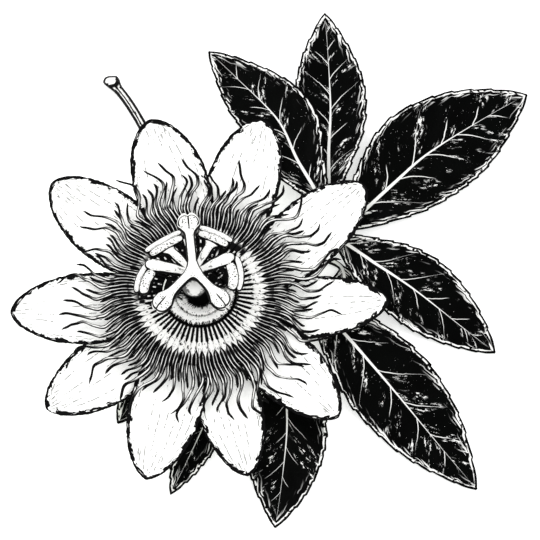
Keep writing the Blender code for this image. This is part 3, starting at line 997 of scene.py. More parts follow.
def make_thread_paint(name, first_pale):
    """first_pale is where the pale streak begins, in mm from the middle."""
    f = Finish(name, 0.6)
    side, half, reach = f.read("side"), f.read("half_width"), f.read("reach")
    thread, angle, share = f.read("thread"), f.read("angle"), f.read("share")
    over = f.read("over")
    here = f.join(f.times(side, 1.2), f.times(reach, 0.5), f.times(thread, 3.3))
    drift = f.minus(f.noise(here, 1.0, 3.0), 0.5)
    own = f.minus(f.noise(f.join(thread, 0.0, 0.0), 7.1, 0.0), 0.5)
    # The lit part of the ring, either side of its own middle angle; elsewhere the ring has painted shade.
    turned = f.math("COSINE", f.minus(angle, LIT_RING_ANGLE))
    bright = f.step(f.add(turned, f.times(drift, 0.55)), -0.30, -0.24)
    ends = f.add(f.times(own, 2.4), RING_END)
    beyond = f.step(f.minus(reach, ends), -1.1, 1.3)
    wide = f.both(f.minus(half, 0.03), f.minus(1.0, beyond))
    slim = f.both(f.add(f.step(reach, 17.0, 26.0, STREAK_NEAR, STREAK_FAR), f.times(drift, 0.14)), beyond)
    out = f.math("ABSOLUTE", side)
    streak = f.step(f.minus(out, f.add(wide, slim)), -0.03, 0.04, 1.0, 0.0)
    # Black hatches the streak in places and takes all of the tip.
    hatch = f.step(f.noise(f.join(f.times(side, 3.0), f.times(reach, 0.45), thread), 1.0, 2.0), 0.52, 0.60)
    streak = f.both(streak, f.minus(1.0, f.both(hatch, f.times(beyond, 0.85))))
    streak = f.both(streak, f.step(f.add(share, f.times(own, 0.3)), 0.70, 0.84, 1.0, 0.0))
    # Where the ring has painted shade, only scattered dashes of the bars are left.
    glint = f.step(f.noise(f.join(f.times(reach, 0.55), f.times(thread, 4.7)), 1.0, 1.0), 0.50, 0.56)
    glint = f.both(glint, f.step(out, 0.14, 0.20, 1.0, 0.0))
    streak = f.both(streak, f.either(f.either(bright, f.step(reach, 14.5, 16.5)), glint))
    # Small dashes on the bars and the ring.
    dash_at = f.join(f.times(side, 3.5), f.times(reach, 1.1), f.times(thread, 9.1))
    dashes = f.step(f.noise(dash_at, 1.0, 1.0), 0.61, 0.65)
    dashes = f.both(dashes, f.minus(1.0, beyond))
    streak = f.both(streak, f.minus(1.0, dashes))
    # Painted shade: the thread is black nearer the middle than first_pale and on its lower half, as in the
    # gaps between the bars.
    streak = f.both(streak, f.step(reach, first_pale, first_pale + 0.4))
    streak = f.both(streak, f.step(over, -0.75, -0.35))
    grain = f.noise(f.join(f.times(side, 8.0), f.times(reach, 1.0), thread), 1.0, 2.0)
    return f.finish(f.mix(streak, INK, PAPER), grain, 0.00006)


thread_paint = make_thread_paint("thread_outer", 9.0)
under_paint = make_thread_paint("thread_inner", 13.8)
WHORLS = (  # name, node, finish, then the sizes of the rule in mm
    ("long_threads", "corona_outer", thread_paint,
     {"Threads": 64, "Root radius": 8.9, "Reach": 34.4, "Shortening": 9.0, "Height": 12.4, "Droop": 2.2,
      "Sway": 1.9, "Swell": 1.0, "Hair width": 0.54, "Turn": 0.0, "Steps": 46, "Seed": 4,
      "Extra towards +Y": 2.2}),
    ("short_threads", "corona_inner", under_paint,
     {"Threads": 64, "Root radius": 8.9, "Reach": 28.0, "Shortening": 8.0, "Height": 11.95, "Droop": 1.6,
      "Sway": 1.7, "Swell": 0.0, "Hair width": 0.54, "Turn": 0.5, "Steps": 44, "Seed": 9,
      "Extra towards +Y": 3.0}),
)
for name, node, paint, sizes in WHORLS:
    whorl = run_rule(thread_rule, name, paint, sizes)
    place(whorl, "corona", node)

# %% [markdown]
# The threads stand on a thin dark membrane, whose black is painted shade seen in the gaps between
# the threads. It is a turned ring: a profile swept round the middle. The same turning makes the
# other round parts of the flower, from the rim to the pit.

# %% Turn the membrane


def turn_ring(name, profile, paint, steps=144):
    """A closed ring or a solid of revolution from (radius, height) pairs, given counter-clockwise."""
    points, faces = [], []
    rows = len(profile)
    for k in range(steps):
        turn = 2 * math.pi * k / steps
        points += [(r * math.cos(turn), r * math.sin(turn), z) for r, z in profile]
    for k in range(steps):
        a, b = k * rows, (k + 1) % steps * rows
        for i in range(rows):
            j = (i + 1) % rows
            if profile[i][0] > 0 or profile[j][0] > 0:
                faces.append((a + i, b + i, b + j, a + j))
    piece = new_piece(name, points, faces, paint)
    work = bmesh.new()
    work.from_mesh(piece.data)
    bmesh.ops.remove_doubles(work, verts=work.verts, dist=1e-7)
    bmesh.ops.recalc_face_normals(work, faces=work.faces)
    work.to_mesh(piece.data)
    work.free()
    return piece


def smooth_profile(corners, count):
    """A closed profile through the given corners, rounded."""
    loop = [(r, 0, z) for r, z in corners]
    path = smooth_path(loop + [loop[0]], count + 1)
    return [(p.x, p.z) for p in path[:-1]]


def make_membrane_paint():
    f = Finish("membrane_painted_shade", 0.7)
    x, y, _ = f.split(f.place())
    grain = f.noise(f.join(f.times(x, 900), f.times(y, 900)), 1.0, 3.0)
    # Painted shade: near black, for the gaps between the threads.
    return f.finish(f.mix(grain, (0.0008, 0.0008, 0.001), (0.002, 0.002, 0.0024)), grain, 0.00008)


membrane = turn_ring("corona_membrane", smooth_profile(
    [(8.95, 11.55), (9.6, 11.35), (13.0, 11.3), (17.4, 10.9), (17.6, 11.05), (13.0, 11.6), (9.4, 11.75)], 40,
), make_membrane_paint())
place(membrane, "corona")

# %% [markdown]
# ## The bowl in the middle
# Inside the threads a folded skin, the operculum, closes the nectar pit, and a second fold, the
# limen, slopes down into the dark round the column. Both are pale and finely dotted, with
# painted shade towards the cut end of the stem, in the pit and at the rim. The pit itself is the
# hollow of the receptacle, which is painted dark all over as shade, so the three read as one bowl.

# %% Bowl finish
LIT_BOWL_ANGLE = math.radians(-78)


def make_bowl_paint(name, pit_radius, rim_radius):
    """Pale and dotted from pit_radius outwards to rim_radius, in mm, with ragged ends of painted shade."""
    f = Finish(name, 0.6)
    x, y, z = f.millimetres()
    radius = f.length(x, y)
    angle = f.math("ARCTAN2", y, x)
    here = f.join(x, y, z)
    rays = f.join(f.times(angle, 14.0), f.times(radius, 0.6), 0.0)
    ragged = f.minus(f.noise(rays, 1.0, 2.0), 0.5)
    drift = f.minus(f.noise(here, 0.6, 2.0), 0.5)
    # Painted shade: dark inside pit_radius and outside rim_radius.
    inner = f.step(f.add(radius, f.times(ragged, 3.4)), pit_radius - 0.2, pit_radius + 0.5)
    outer = f.step(f.add(radius, f.times(ragged, 2.2)), rim_radius - 0.3, rim_radius, 1.0, 0.0)
    # Painted shade on the side of the bowl away from this angle.
    turned = f.math("COSINE", f.minus(angle, LIT_BOWL_ANGLE))
    bright = f.step(f.add(turned, f.times(drift, 0.9)), -0.05, 0.22)
    dashes = f.step(f.noise(rays, 0.9, 1.0), 0.60, 0.65)
    dashes = f.both(dashes, f.step(f.noise(here, 0.9, 2.0), 0.45, 0.55))
    near = f.dots(here, 2.0)
    dots = f.step(near, 0.22, 0.30, 1.0, 0.0)
    crowd = f.step(f.noise(here, 0.8, 1.0), 0.40, 0.55)
    row = f.step(f.math("ABSOLUTE", f.minus(f.add(radius, f.times(drift, 0.5)), 6.35)), 0.05, 0.14, 1.0, 0.0)
    row = f.both(row, f.step(f.noise(f.join(f.times(angle, 24.0), 0.0, 0.0), 1.0, 0.0), 0.50, 0.56))
    specks = f.either(f.times(f.both(dots, crowd), 0.8), row)
    pale = f.both(f.both(inner, outer), f.minus(1.0, specks))
    pale = f.either(f.both(pale, bright), f.both(f.both(dashes, inner), f.minus(1.0, bright)))
    colour = f.mix(pale, INK, PAPER)
    return f.finish(colour, f.noise(here, 3.0, 3.0), 0.00008)


operculum = turn_ring("operculum_fold", smooth_profile(
    [(6.05, 11.9), (6.5, 11.35), (8.1, 11.35), (8.35, 11.9), (8.0, 12.45), (7.2, 12.65), (6.4, 12.45)], 36,
), make_bowl_paint("operculum_pale", 4.0, 8.1))
place(operculum, "corona", "operculum")
limen = turn_ring("limen_fold", smooth_profile(
    [(5.95, 11.7), (5.75, 12.3), (5.2, 12.25), (4.3, 11.6), (3.3, 10.7), (2.5, 9.7), (2.45, 9.2), (3.0, 8.95),
     (4.2, 9.0), (5.0, 10.0), (5.7, 11.2)], 52,
), make_bowl_paint("limen_pale", 3.5, 6.2))
place(limen, "corona", "limen")

# %% [markdown]
# A fringe of short hairs stands out from the operculum's edge. It is the thread rule again, with
# other sizes: twice as many, short, fine and straight.

# %% Fringe
fringe = run_rule(thread_rule, "operculum_fringe", make_bowl_paint("fringe_pale", 4.0, 8.4), {
    "Threads": 130, "Root radius": 7.3, "Reach": 8.55, "Shortening": 0.35, "Height": 12.35, "Droop": 0.0,
    "Sway": 0.0, "Swell": 0.0, "Hair width": 0.11, "Turn": 0.0, "Steps": 6, "Seed": 2,
})
place(fringe, "corona")

# %% [markdown]
# ## Receptacle
# The receptacle is the cup that carries everything. Outside it is a plain pale green; inside,
# where it holds nectar, it is painted dark as shade, and so is its rim under the threads. Its solid
# already has the right profile, but too few sides to look round from the edge of the table, so it
# is turned again, finer.

# %% Turn the receptacle


def make_cup_paint():
    f = Finish("receptacle_skin", 0.5)
    x, y, z = f.millimetres()
    radius = f.length(x, y)
    angle = f.math("ARCTAN2", y, x)
    ribs = f.noise(f.join(f.times(angle, 9.0), f.times(z, 0.3)), 1.0, 2.0)
    # Painted shade: dark inside the cup and on its rim under the threads.
    inside = f.both(f.step(z, 8.2, 8.4), f.step(radius, 8.2, 8.4, 1.0, 0.0))
    inside = f.either(inside, f.step(z, 10.4, 10.7))
    skin = f.mix(f.step(ribs, 0.3, 0.7), (0.42, 0.47, 0.33), (0.62, 0.66, 0.50))
    flecks = f.step(f.noise(f.join(x, y, z), 2.4, 2.0), 0.64, 0.68)
    skin = f.mix(f.times(flecks, 0.6), skin, (0.12, 0.15, 0.09))
    return f.finish(f.mix(inside, skin, INK), ribs, 0.0002)


cup_profile = [(0, 4.6), (2.2, 4.6), (3.9, 5.0), (5.4, 5.6), (6.8, 6.5), (7.8, 7.6), (8.5, 8.9), (8.8, 10.2),
               (8.75, 10.7), (8.5, 11), (6.9, 11), (6.1, 10.1), (5.4, 9.1), (4.4, 8.6), (0, 8.6)]
receptacle = turn_ring("receptacle_cup", cup_profile, make_cup_paint())
place(receptacle, "stem", "receptacle")

# %% [markdown]
# ## Fleshy parts
# Column, stamens, ovary and styles are smooth and fleshy. They are sets of shells: tubes along a
# path and rounded lobes. Stamens, anthers and styles share a finish, pale on top with a dark line
# along each flank; the column and the ovary have their own. How far a point lies from its flank
# is worked out from its normal and the thickness there, and kept on the mesh, so that a thin
# stalk and a fat lobe get lines of the same width.

# %% Shell helpers


LEAST_HALF = 0.9
LOBE_ROWS = 17
NO_CREASE = 9.0


class Shells:
    """Collects closed shells, in mm, and what their finish reads: the half width of the section
    at each point, how flat it is, and how dotted."""

    def __init__(self):
        self.points, self.faces, self.notes = [], [], []

    def add(self, rings, notes):
        """Closed rings of points in order, with the first and last filled."""
        first, sides = len(self.points), len(rings[0])
        for ring, note in zip(rings, notes):
            self.points += ring
            self.notes += [note] * sides
        for i in range(len(rings) - 1):
            join_rings(self.faces, first + i * sides, first + (i + 1) * sides, sides)
        last = first + (len(rings) - 1) * sides
        self.faces.append(tuple(first + k for k in reversed(range(sides))))
        self.faces.append(tuple(last + k for k in range(sides)))

    def tube(self, path, wides, talls, sides=20, dots=0.0, note=None):
        """A tube whose section is wides across and talls high."""
        rings = []
        for i, centre in enumerate(path):
            _, side, over = section(path, i)
            turns = (2 * math.pi * k / sides for k in range(sides))
            rings.append([
                centre + side * wides[i] * math.cos(t) + over * talls[i] * math.sin(t) for t in turns
            ])
        self.add(rings, [note or (w, h / w, dots) for w, h in zip(wides, talls)])

    def lobe(self, centre, along, long, wide, tall, sides=24, dots=0.0, blunt=1.0, bend=Vector()):
        """A rounded lobe: an ellipsoid, or with blunt below 1 a capsule. bend bows its middle."""
        centre, along = Vector(centre), Vector(along).normalized()
        path, wides, talls = [], [], []
        for i in range(LOBE_ROWS):
            turn = math.pi * (i + 0.35) / (LOBE_ROWS - 0.3)
            share = math.copysign(abs(math.cos(turn)) ** blunt, -math.cos(turn))
            path.append(centre + along * long * share + bend * (0.5 - share * share))
            size = math.sin(turn) ** blunt
            wides.append(wide * size)
            talls.append(tall * size)
        self.tube(path, wides, talls, sides, note=(wide, tall / wide, dots))

    def merged(self, voxel, passes):
        """One skin round all shells so far, as soft as wax, with the nearest old notes."""
        rough = bpy.data.meshes.new("rough")
        rough.from_pydata(self.points, [], self.faces)
        maker = bpy.data.objects.new("rough", rough)
        bpy.context.scene.collection.objects.link(maker)
        skin = maker.modifiers.new("skin", "REMESH")
        skin.mode, skin.voxel_size = "VOXEL", voxel
        soften = maker.modifiers.new("soften", "SMOOTH")
        soften.factor, soften.iterations = 0.5, passes
        graph = bpy.context.evaluated_depsgraph_get()
        mesh = bpy.data.meshes.new_from_object(maker.evaluated_get(graph))
        bpy.data.objects.remove(maker)
        old = kdtree.KDTree(len(self.points))
        for k, point in enumerate(self.points):
            old.insert(point, k)
        old.balance()
        whole = Shells()
        whole.points = [v.co.copy() for v in mesh.vertices]
        whole.faces = [tuple(p.vertices) for p in mesh.polygons]
        whole.notes = [self.notes[old.find(point)[1]] for point in whole.points]
        return whole

    def piece(self, name, paint, creases=None, flanks=None):
        made = new_piece(name, self.points, self.faces, paint)
        facing, flank = [], []
        for vertex, (wide, flat, _) in zip(made.data.vertices, self.notes):
            up = vertex.normal.z
            facing.append(up)
            # The section's own angle at this normal gives the distance in from its widest point.
            level = math.atan2(flat * max(up, 0.0), math.sqrt(max(1 - up * up, 1e-9)))
            flank.append(max(wide, LEAST_HALF) * (1 - math.cos(level)))
        for k, (share, known) in enumerate(flanks or []):
            flank[k] += (known - flank[k]) * share
        give_value(made.data, "facing", facing)
        give_value(made.data, "flank", flank)
        give_value(made.data, "dots", [note[2] for note in self.notes])
        give_value(made.data, "crease", creases or [NO_CREASE] * len(self.points))
        return made


# %% [markdown]
# The fleshy finish itself: ivory with a fine grain, a dark line 0.3 to 0.4 mm deep along each
# flank, broken strokes beside it, dots wherever the shell asks for them, and a half-dark painted
# shade on the underside. The line follows the widest level of the organ, all the way round it.

# %% Flesh finish


def make_flesh_paint(name, line):
    f = Finish(name, 0.5)
    here = f.join(*f.millimetres())
    facing, off, dotted = f.read("facing"), f.read("flank"), f.read("dots")
    drift = f.minus(f.noise(here, 1.2, 2.0), 0.5)
    line_at = f.add(line, f.times(drift, 0.12))
    flank = f.step(f.minus(off, line_at), -0.05, 0.05, 1.0, 0.0)
    side = f.step(facing, -0.45, -0.30)
    crease = f.step(f.add(f.read("crease"), f.times(drift, 0.10)), 0.13, 0.22, 1.0, 0.0)
    crease = f.both(crease, side)
    contour = f.either(f.both(flank, side), crease)
    # Fine strokes just inside the line, and dots where the part is grainy.
    inside = f.step(f.math("ABSOLUTE", f.minus(off, f.add(line_at, 0.22))), 0.03, 0.10, 1.0, 0.0)
    inside = f.both(inside, f.step(f.noise(here, 1.6, 2.0), 0.50, 0.56))
    near = f.dots(here, 1.9)
    dots = f.step(near, 0.30, 0.38, 1.0, 0.0)
    dots = f.both(f.both(dots, dotted), f.step(f.noise(here, 1.1, 0.0), 0.36, 0.46))
    # Painted shade: the underside is drawn half dark.
    below = f.step(facing, -0.60, -0.25, 0.55, 0.0)
    ink = f.either(f.either(contour, f.times(inside, 0.7)), f.either(f.times(dots, 0.9), below))
    colour = f.mix(ink, PAPER, INK)
    grain = f.add(f.noise(here, 2.5, 3.0), f.times(dots, -0.8))
    f.glow(colour, FLESH_GLOW)
    return f.finish(colour, grain, 0.00007)


flesh_paint = make_flesh_paint("flesh_ivory", 0.40)
anther_paint = make_flesh_paint("anther_ivory", 0.32)
print("flesh finish:", len(flesh_paint.node_tree.nodes), "nodes")

# %% [markdown]
# ## Column and ovary
# The column rises out of the pit and spreads into a collar that carries the five filaments. The
# ovary is the round body above it, which would swell into the fruit. The styles fork over its
# +Y side, so its finish has painted shade: one pale patch, darker away from it, and a painted
# shadow most of all towards +Y.

# %% Shape the column and the ovary
COLUMN_STEPS = 22
COLLAR = Vector((-1.3, 1.7, 20.3))
OVARY_CENTRE, OVARY_RADIUS = Vector((-1.0, -2.2, 23.5)), 3.0


def make_column_paint():
    f = Finish("column_skin", 0.55)
    x, y, z = f.millimetres()
    streak = f.noise(f.join(f.times(x, 1.8), f.times(y, 1.8), f.times(z, 0.25)), 1.0, 3.0)
    # Painted shade: the column darkens lower down, deep in the pit.
    deep = f.step(f.add(z, f.times(f.minus(streak, 0.5), 9.0)), 13.0, 18.5, 1.0, 0.0)
    colour = f.mix(deep, PAPER, INK)
    return f.finish(colour, streak, 0.0001)


def make_ovary_paint():
    f = Finish("ovary_skin", 0.4)
    x, y, z = f.millimetres()
    here = f.join(x, y, z)
    drift = f.times(f.minus(f.noise(here, 1.3, 4.0, 0.75), 0.5), 4.2)
    east, north = (f.minus(v, c) for v, c in zip((x, y), OVARY_CENTRE))
    # How far from the middle of the pale patch, in mm.
    aside = f.minus(east, 0.25)
    upper = f.add(north, 1.2)
    far = f.length(aside, upper)
    # Painted shade round the pale patch, stippled with dots, and a painted shadow of the fork towards +Y.
    shade = f.step(f.add(far, drift), 1.5, 2.2, 0.0, 0.85)
    fork_shadow = f.step(f.add(upper, drift), 0.7, 1.5, 0.0, 0.9)
    dots = f.step(f.dots(here, 2.6), 0.16, 0.24, 0.6, 0.0)
    dots = f.both(dots, f.step(far, 1.0, 2.2))
    facing = f.read("facing")
    line = f.both(f.step(facing, 0.06, 0.14, 1.0, 0.0), f.step(facing, -0.50, -0.35))
    ink = f.either(f.either(shade, fork_shadow), f.either(dots, line))
    return f.finish(f.mix(ink, PAPER, INK), f.noise(here, 2.0, 3.0), 0.00008)


def build_column():
    shells = Shells()
    path = smooth_path([(0, 0, 8.8), (-0.2, 0.1, 13.0), (-0.8, 0.6, 17.0), (-1.2, 1.3, 19.6)], COLUMN_STEPS)
    wides = [1.25 + 0.65 * (1 - ease(0, 6, i)) + 0.25 * ease(14, 21, i) for i in range(COLUMN_STEPS)]
    shells.tube(path, wides, wides, 28)
    shells.lobe(COLLAR - UP * 0.1, (1, 0, 0), 2.2, 2.2, 0.62)
    return shells.merged(0.14, 4).piece("column_and_collar", make_column_paint())


def build_ovary():
    shells = Shells()
    shells.lobe(OVARY_CENTRE, (1, 0, 0), OVARY_RADIUS, 2.95, 2.95, 40)
    foot = COLLAR + Vector((0.1, -1.0, -0.1))
    stalk = smooth_path([foot, foot.lerp(OVARY_CENTRE, 0.45) - UP * 0.2, OVARY_CENTRE], 10)
    shells.tube(stalk, [1.5, 1.35, 1.3, 1.3, 1.35, 1.4, 1.5, 1.6, 1.6, 1.5], [1.1] * 10, 28)
    return shells.merged(0.15, 4).piece("ovary_ball", make_ovary_paint())


place(build_column(), "centre", "column")
place(build_ovary(), "centre", "ovary")

# %% [markdown]
# ## Stamens
# Each flat filament springs from the collar and carries an anther like a see-saw. Two filaments
# meet their anther in the middle and spread where they join it, two end in a round shoulder over
# its upper end, and a slim fifth lies under a style. An anther is two long pollen lobes side by
# side, the outer the narrower, and on three of the five the edge of another lies below them.

# %% Shape the filaments and the anthers
ANTHER_Z = 21.5
FILAMENT_STEPS = 30
STAMENS = (  # anther middle, heading, length, radius and bow, filament end, and how the two join
    ((3.5, 10.2), -24.5, 8.3, 1.6, 0.3, (2.9, 9.0), "spread"),
    ((-8.0, 8.4), 31.0, 9.5, 1.6, 0.2, (-7.4, 7.6), "spread"),
    ((-12.2, -0.1), 69.0, 8.0, 2.05, 0.8, (-11.3, 3.2), "shoulder"),
    ((-8.0, -5.8), 46.0, 5.0, 1.10, 0.2, (-7.2, -4.8), "hidden"),
    ((8.1, 1.2), 95.0, 8.6, 1.95, 0.9, (7.1, 4.9), "shoulder"),
)


def build_filament(number, end, joint):
    start = COLLAR + (Vector((*end, COLLAR.z)) - COLLAR).normalized() * 1.0
    stop = Vector((*end, ANTHER_Z + (0.35 if joint == "shoulder" else -0.15)))
    bend = Vector((-0.7, 0.9, 0)) if joint == "hidden" else Vector()
    path = smooth_path([start, start.lerp(stop, 0.5) + UP * 0.5 + bend, stop], FILAMENT_STEPS)
    waist = {"spread": 1.18, "shoulder": 1.42, "hidden": 0.55}[joint]
    wides, talls = [], []
    for i in range(FILAMENT_STEPS):
        width = waist + 0.12 * math.sin(math.pi * i / (FILAMENT_STEPS - 1))
        if joint == "spread":
            wides.append(width + 0.85 * ease(22, 29, i) ** 1.5)
            talls.append(0.55 + 0.12 * ease(20, 29, i))
        else:
            wides.append(width + 0.3 * ease(17, 27, i))
            talls.append(0.60 + 0.35 * ease(17, 27, i))
    shells = Shells()
    shells.tube(path, wides, talls, 24)
    if joint == "shoulder":
        shells.lobe(stop, stop - start, 1.45, 1.4, 1.0, dots=0.3)
    return shells.merged(0.12, 5).piece(f"filament_{number}", flesh_paint)


def build_anther(number, middle, heading, length, radius, bow, joint):
    """A narrow outer lobe and a wide inner one, and without a shoulder the edge of a third."""
    along = polar(heading, 1.0, 0.0)
    centre = Vector((*middle, ANTHER_Z))
    out = Vector((-along.y, along.x, 0))
    if out.dot(centre - COLLAR) < 0:
        out = -out
    half = length / 2
    lobes = [  # place outwards, slide along, drop, length, half width, half height and dots
        (radius - 0.56, 0.0, 0.22, half * 1.03, 0.92, 0.80, 0.2),
        (-0.50, 0.0, -0.10, half * 0.92, radius - 0.50, 1.0, 1.0),
        (0.45 - radius, 0.0, 0.40, half * 0.84, 0.50, 0.70, 0.5),
    ]
    if joint == "shoulder":
        # The filament's shoulder covers the head of the inner lobe.
        lobes = [
            (radius - 0.72, 0.0, 0.25, half, 0.90, 0.85, 0.2),
            (-0.55, -0.70, -0.10, half * 0.78, 1.38, 1.0, 1.0),
        ]
    shells = Shells()
    for place_out, slide, drop, long, wide, tall, dots in lobes:
        spot = centre + out * place_out + along * slide - UP * drop
        shells.lobe(spot, along, long, wide, tall, 26, dots, 0.5, out * bow)
    return shells.piece(f"anther_{number}_lobes", anther_paint)


for number, (middle, heading, length, radius, bow, end, joint) in enumerate(STAMENS, 1):
    place(build_filament(number, end, joint), "centre", f"stamen_{number}")
    place(build_anther(number, middle, heading, length, radius, bow, joint), "anther", f"anther_{number}")

# %% [markdown]
# ## Styles and stigmas
# Three styles grow together over the ovary and part like the legs of a stool. Each ends in a
# stigma, a broad head of two dotted lobes with a smooth lip behind them. Each style is one sweep
# that swells into its head. The three and the neck below are melted into one skin, so that the
# fork is soft.

# %% Shape the styles
STYLE_FORK = Vector((-1.1, -0.8, 28.6))
STYLES = (  # the end of each style, then its head in mm: half width, half length, lip and shoulder
    ((-2.7, 14.4, 27.0), 2.85, 3.5, 1.35, 1.7),
    ((-10.1, -9.7, 25.8), 2.45, 3.1, 0.66, 2.2),
    ((6.9, -8.9, 25.8), 2.45, 3.0, 0.66, 2.2),
)
STYLE_STEPS, STYLE_SIDES = 96, 36
NECK_RADII = (1.1, 1.0, 0.95, 0.9, 0.9, 0.95, 1.05, 1.2)


class Head:
    """One style and its stigma: where a point lies on it, and how the surface is shaped there."""

    def __init__(self, end, wide, long, lip, shoulder):
        self.end, self.wide, self.long, self.lip, self.shoulder = Vector(end), wide, long, lip, shoulder
        start = STYLE_FORK - (self.end - STYLE_FORK) * 0.06
        arch = STYLE_FORK.lerp(self.end, 0.35) + UP * 0.9
        self.path = smooth_path([start, arch, self.end], STYLE_STEPS)
        self.total = sum((b - a).length for a, b in zip(self.path, self.path[1:]))
        self.along = (self.path[-1] - self.path[-4]).normalized()
        self.side = UP.cross(self.along).normalized()
        self.over = self.along.cross(self.side)

    def width(self, left):
        """Half the width where a length of left mm is still to come."""
        if left < self.long:
            return self.wide * max(1 - ((self.long - left) / self.long) ** 2.3, 0.0) ** 0.5
        neck = 1.22 + 0.62 * ease(self.total - 3.6, self.total - 0.6, left)
        return neck + (self.wide - neck) * math.exp(-(((left - self.long) / self.shoulder) ** 2))

    def depth(self, aside, left):
        """How far inside the head's outline, in mm."""
        if left > self.long:
            return self.width(left) - abs(aside)
        return (1 - math.hypot(aside / self.wide, (self.long - left) / self.long)) * self.wide

    def lip_at(self, aside, left):
        """The lip's width, which is less at the sides of the head than at its end."""
        ahead = max((self.long - left) / self.long, 0.0)
        return self.lip * (0.38 + 0.62 * ahead ** 2 / (ahead ** 2 + (aside / self.wide) ** 2 + 0.001))

    def line(self, point):
        """The distance to the middle groove or the line along the lip, how dotted it is there,
        how much it belongs to the head, and its distance in from the outline."""
        inward = -(point - self.end).dot(self.along)
        aside, high = (point - self.end).dot(self.side), (point - self.end).dot(self.over)
        on_head = 1 - ease(self.long * 1.1, self.long * 1.8, inward)
        if inward > 7 or abs(aside) > self.wide + 0.5:
            return 9.0, 0.0, 0.0, 0.0
        if high < -0.3:
            return 8.0, 0.0, on_head, 0.1
        fade = ease(self.long * 1.25, self.long * 1.9, inward)
        depth, edge = self.depth(aside, inward), self.lip_at(aside, inward)
        groove = abs(aside + 0.05) + 0.3 * fade + 0.4 * (1 - ease(edge - 0.2, edge, depth))
        lip = abs(depth - edge) + 0.4 * ease(self.long * 1.1, self.long * 1.5, inward)
        return min(groove, lip), ease(edge, edge + 0.2, depth) * (1 - fade), on_head, depth + 0.17


def build_styles():
    shells, heads = Shells(), []
    for row in STYLES:
        head = Head(*row)
        rings, notes = [], []
        for i, centre in enumerate(head.path):
            left = head.total * (1 - i / (STYLE_STEPS - 1))
            ahead = head.path[min(i + 1, STYLE_STEPS - 1)] - head.path[max(i - 1, 0)]
            side = UP.cross(ahead).normalized()
            over = ahead.normalized().cross(side)
            wide = max(head.width(left), 0.05)
            tall = wide * (1 - 0.42 * (1 - ease(head.long, head.long + 3.5, left)))
            in_head = 1 - ease(head.long, head.long + 2.0, left)
            ring = []
            for k in range(STYLE_SIDES):
                turn = 2 * math.pi * k / STYLE_SIDES
                x, z = wide * math.cos(turn), tall * math.sin(turn)
                fold = math.exp(-((x / 0.50) ** 2))
                z *= 1 - 0.30 * fold * in_head
                if z > 0:
                    edge = head.lip_at(x, left)
                    raised = ease(edge - 0.15, edge + 0.25, head.depth(x, left))
                    z += 0.16 * in_head * raised
                back = 0.75 * fold * in_head * (1 - ease(0, head.long, left))
                ring.append(centre + side * x + over * z - head.along * back)
            rings.append(ring)
            notes.append((wide, tall / wide, 0.0))
        shells.add(rings, notes)
        heads.append(head)
    # The short neck by which the fork stands on the ovary.
    crown = OVARY_CENTRE + Vector((0, 0.9, OVARY_RADIUS - 0.5))
    neck = smooth_path([STYLE_FORK - UP * 0.2, STYLE_FORK.lerp(crown, 0.5), crown], len(NECK_RADII))
    shells.tube(neck, NECK_RADII, NECK_RADII)
    skin = shells.merged(0.11, 3)
    found = [min((head.line(point) for head in heads), key=lambda seen: seen[0]) for point in skin.points]
    skin.notes = [(wide, flat, seen[1]) for (wide, flat, _), seen in zip(skin.notes, found)]
    creases, flanks = [seen[0] for seen in found], [seen[2:] for seen in found]
    return skin.piece("styles_and_stigmas", flesh_paint, creases, flanks)


place(build_styles(), "centre", "styles")

# %% [markdown]
# ## Stem
# The stem lies along the table from its cut end, under the flower, to the leaves, and the flower
# stalk rises from it. It is round except where it rests. Its finish runs lengthwise: black
# flanks with two pale streaks, a narrow and a wide one. The cut was made slantwise, so its pale
# face looks up, inside a knobby rim.

# %% Shape the stem
STEM_ROUTE = ((-23.2, 59.6), (-20.1, 56.0), (-16.4, 50.2), (-8.0, 35.0),
              (3.0, 21.0), (12.0, 15.4), (20.0, 14.2), (27.6, 15.6))
STALK_ROUTE = ((3.0, 21.0, 1.2), (1.4, 13.0, 1.15), (0.2, 4.0, 1.05),
               (0, -0.1, 1.0), (0, -1.4, 2.3), (0, -0.6, 4.0))
STEM_RADIUS, FLOWER_STALK_RADIUS = 1.18, 1.3
STEM_STEPS, FLOWER_STALK_STEPS, STEM_SIDES = 150, 70, 28
CUT_SLANT, CUT_STEPS = 1.35, 8


def make_stem_paint():
    f = Finish("stem_bark", 0.5)
    turn, along, cut = f.read("turn"), f.read("along"), f.read("cut")
    across = f.math("COSINE", f.times(turn, math.tau))
    here = f.join(f.times(across, 1.4), f.times(along, 0.35))
    drift = f.times(f.minus(f.noise(here, 1.0, 4.0, 0.7), 0.5), 0.28)
    wide = f.step(f.math("ABSOLUTE", f.add(f.minus(across, 0.10), drift)), 0.15, 0.25, 1.0, 0.0)
    thin = f.step(f.math("ABSOLUTE", f.add(f.minus(across, -0.48), drift)), 0.05, 0.12, 1.0, 0.0)
    top = f.step(f.math("SINE", f.times(turn, math.tau)), 0.0, 0.2)
    streaks = f.both(f.either(wide, thin), top)
    gaps = f.noise(f.join(f.times(across, 4.0), f.times(along, 0.5)), 1.0, 2.0)
    streaks = f.both(streaks, f.step(gaps, 0.36, 0.44))
    streaks = f.both(streaks, f.step(f.add(along, f.times(drift, 2.0)), 0.55, 0.95))
    face = f.step(cut, 0.14, 0.28, 1.0, 0.0)
    # One number stands for the place here, so the specks of the pith are only a few faint bands.
    bands = f.step(f.dots(f.times(f.place(), 1), 900), 0.2, 0.3, 1.0, 0.0)
    pith = f.both(face, f.minus(1.0, f.times(bands, 0.8)))
    pale = f.either(streaks, pith)
    colour = f.mix(pale, INK, PAPER)
    return f.finish(colour, f.noise(f.join(f.times(across, 3.0), f.times(along, 0.6)), 1.0, 3.0), 0.00015)


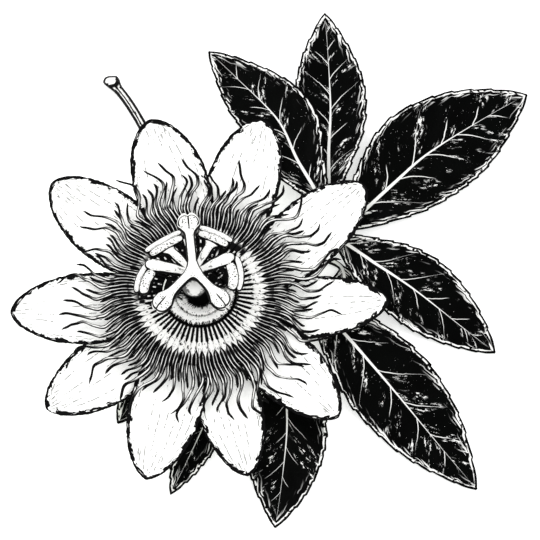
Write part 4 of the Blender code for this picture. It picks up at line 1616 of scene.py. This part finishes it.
def build_stem():
    sides, points, faces, turns, alongs, cuts = STEM_SIDES, [], [], [], [], []

    def add_point(point, k, along, cut):
        """A point that doesn't go below the table, and the numbers that the finish reads."""
        point.z = max(point.z, 0.0)
        points.append(point)
        turns.append(k / sides)
        alongs.append(along)
        cuts.append(cut)

    def close_cut(path, first, hollow):
        """The cut face: rings that close on a middle, a little hollow."""
        rim = points[first:first + sides]
        middle = sum(rim, Vector()) / sides
        inward = (path[1] - path[0]).normalized()
        previous = first
        for share in (0.66, 0.4, 0.15):
            here = len(points)
            for k in range(sides):
                add_point(middle.lerp(rim[k], share) + inward * 0.25 * (1 - share) * hollow, k, 0.0, 0.0)
            join_rings(faces, here, previous, sides)
            previous = here
        faces.append(tuple(previous + k for k in reversed(range(sides))))

    def run(path, radii, slant):
        first, gone = len(points), 0.0
        for i, centre in enumerate(path):
            along, side, over = section(path, i)
            gone += (centre - path[max(i - 1, 0)]).length
            for k in range(sides):
                turn = 2 * math.pi * k / sides
                bumps = 0.12 * math.sin(3 * turn + 0.9) + 0.17 * math.sin(5 * turn + 2.2)
                bumps += 0.07 * math.sin(8 * turn)
                at_cut = 1 - ease(0, CUT_STEPS, i)
                knob = 1 + bumps * at_cut + 0.02 * wave(k, i, 2.0)
                point = centre + (side * math.cos(turn) + over * math.sin(turn)) * radii[i] * knob
                point += along * slant * radii[i] * math.sin(turn) * at_cut
                add_point(point, k, gone, 1.0)
        for i in range(len(path) - 1):
            join_rings(faces, first + i * sides, first + (i + 1) * sides, sides)
        last = first + (len(path) - 1) * sides
        faces.append(tuple(last + k for k in range(sides)))
        close_cut(path, first, radii[0])

    path = smooth_path([(x, y, 0) for x, y in STEM_ROUTE], STEM_STEPS)
    radii = []
    for i in range(STEM_STEPS):
        flare = 0.38 * (1 - ease(0, 7, i)) + 0.10 * math.exp(-((i - 2) / 1.5) ** 2)
        radii.append(STEM_RADIUS * (1 + flare))
    for centre, radius in zip(path, radii):
        centre.z = 0.93 * radius
    run(path, radii, CUT_SLANT)
    stalk = smooth_path(STALK_ROUTE, FLOWER_STALK_STEPS)
    run(stalk, [FLOWER_STALK_RADIUS] * FLOWER_STALK_STEPS, 0.0)
    piece = new_piece("stem_bark", points, faces, make_stem_paint())
    give_value(piece.data, "turn", turns)
    give_value(piece.data, "along", alongs)
    give_value(piece.data, "cut", cuts)
    return piece


place(build_stem(), "stem", "stem")
